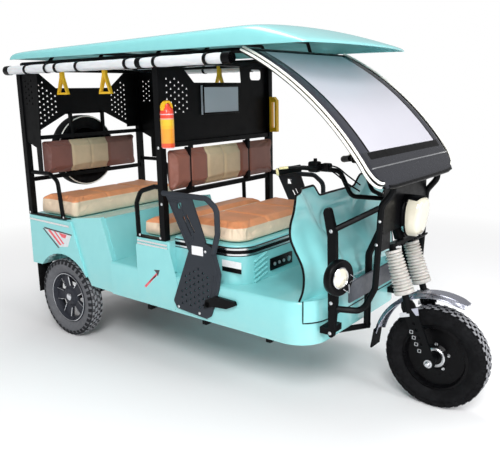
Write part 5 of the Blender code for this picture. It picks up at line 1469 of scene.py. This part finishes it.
bm = bmesh.new()
low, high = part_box("extinguisher")
middle = (low + high) / 2
lathe(bm, [(0.0005, low.z), (0.028, low.z), (0.033, low.z + 0.006), (0.0335, low.z + 0.170),
           (0.030, low.z + 0.190), (0.016, low.z + 0.203), (0.014, low.z + 0.215), (0.0005, low.z + 0.215)],
      (middle.x, middle.y, 0), "Z", 40)
piece(bm, "extinguisher_bottle", EXTINGUISHER_SKIN, slot="red", replaces=["extinguisher"])
one(lambda bm: lathe(bm, [(0.0225, -0.0095), (0.0335, -0.0095), (0.0335, 0.0095), (0.0225, 0.0095),
                          (0.0225, -0.0095)], (middle.x, middle.y, high.z - 0.034), "X", 32),
    "extinguisher_ring", YELLOW_ABS, slot="yellow")


# Picture panel: a plain pale card in a black rim

bm = bmesh.new()
low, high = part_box("picture_frame")
for y0, y1, z0, z1 in ((low.y, high.y, low.z, low.z + 0.010), (low.y, high.y, high.z - 0.010, high.z),
                       (low.y, low.y + 0.010, low.z, high.z), (high.y - 0.010, high.y, low.z, high.z)):
    block(bm, (high.x - 0.004, y0, z0), (high.x + 0.003, y1, z1), 0.002, 2)
piece(bm, "picture_rim", BLACK_ABS, slot="card")


# Stage: floor, lights and camera

def looked_at(tree, kinds):
    """1 for rays of these kinds, 0 for the rest."""
    seen = add(tree, "ShaderNodeLightPath", output=kinds[0])
    for kind in kinds[1:]:
        other = add(tree, "ShaderNodeLightPath", output=kind)
        seen = add(tree, "ShaderNodeMath", {"operation": "MAXIMUM", 0: seen, 1: other})
    return seen


def build_stage():
    bpy.ops.mesh.primitive_plane_add(size=60)
    floor = bpy.context.active_object
    floor.name = "studio_floor"
    made, tree, place = finish("pale_studio_floor", "F4F4F5", 0.9)
    # the floor fades to the white of the background 1.9 to 4.5 m out, where it is looked at
    reach = add(tree, VECTORS, {"operation": "LENGTH", 0: place}, "Value")
    fade = add(tree, RANGE, {"Value": reach, "From Min": 1.9, "From Max": 4.5})
    seen = looked_at(tree, ("Is Camera Ray", "Is Glossy Ray", "Is Transmission Ray"))
    share = add(tree, "ShaderNodeMath", {"operation": "MULTIPLY", 0: fade, 1: seen})
    glow = add(tree, "ShaderNodeEmission", {"Color": (1, 1, 1, 1), "Strength": 1.0})
    mix = add(tree, "ShaderNodeMixShader", {0: share, 1: tree.nodes["Principled BSDF"].outputs[0], 2: glow})
    tree.links.new(mix, tree.nodes["Material Output"].inputs["Surface"])
    floor.data.materials.append(made)

    world = bpy.data.worlds.new("studio")
    bpy.context.scene.world = world
    world.use_nodes = True
    tree = world.node_tree
    back = tree.nodes["Background"]
    seen = looked_at(tree, ("Is Camera Ray", "Is Transmission Ray"))
    level = add(tree, RANGE, {"Value": seen, "To Min": 0.42, "To Max": 1.0})
    tree.links.new(level, back.inputs["Strength"])
    back.inputs["Color"].default_value = (1, 1, 1, 1)

    # name: place, aim, size, power
    lamps = {
        "key_softbox": ((3.2, -4.2, 4.6), (0.1, 0, 0.7), 2.6, 265),
        "front_softbox": ((5.4, -0.6, 2.6), (0.4, 0, 0.8), 2.6, 135),
        "top_softbox": ((-0.4, 0.8, 5.2), (-0.2, 0, 0.8), 3.6, 130),
    }
    for name, (place, aim, size, power) in lamps.items():
        data = bpy.data.lights.new(name, "AREA")
        data.shape = "DISK"
        data.size = size
        data.energy = power
        lamp = bpy.data.objects.new(name, data)
        bpy.context.scene.collection.objects.link(lamp)
        lamp.location = place
        lamp.rotation_euler = (Vector(aim) - Vector(place)).to_track_quat("-Z", "Y").to_euler()


def build_camera():
    """The camera fitted to the photograph's view: level lines lean by just under a degree."""
    yaw, pitch, roll = math.radians(37.52), math.radians(12.73), math.radians(-0.98)
    ahead = Vector((-math.sin(yaw) * math.cos(pitch), math.cos(yaw) * math.cos(pitch), -math.sin(pitch)))
    side = ahead.cross(Vector((0, 0, 1))).normalized()
    over = side.cross(ahead)
    right = side * math.cos(roll) + over * math.sin(roll)
    up = over * math.cos(roll) - side * math.sin(roll)
    data = bpy.data.cameras.new("photo_camera")
    data.sensor_width = 36.0
    data.sensor_fit = "HORIZONTAL"
    data.lens = 616.7 / 500 * 36.0
    camera = bpy.data.objects.new("photo_camera", data)
    bpy.context.scene.collection.objects.link(camera)
    turn = Matrix((right, up, -ahead)).transposed().to_4x4()
    camera.matrix_world = Matrix.Translation((2.095, -2.643, 1.455)) @ turn
    bpy.context.scene.camera = camera


build_stage()
build_camera()
bpy.context.scene.view_settings.view_transform = "Standard"
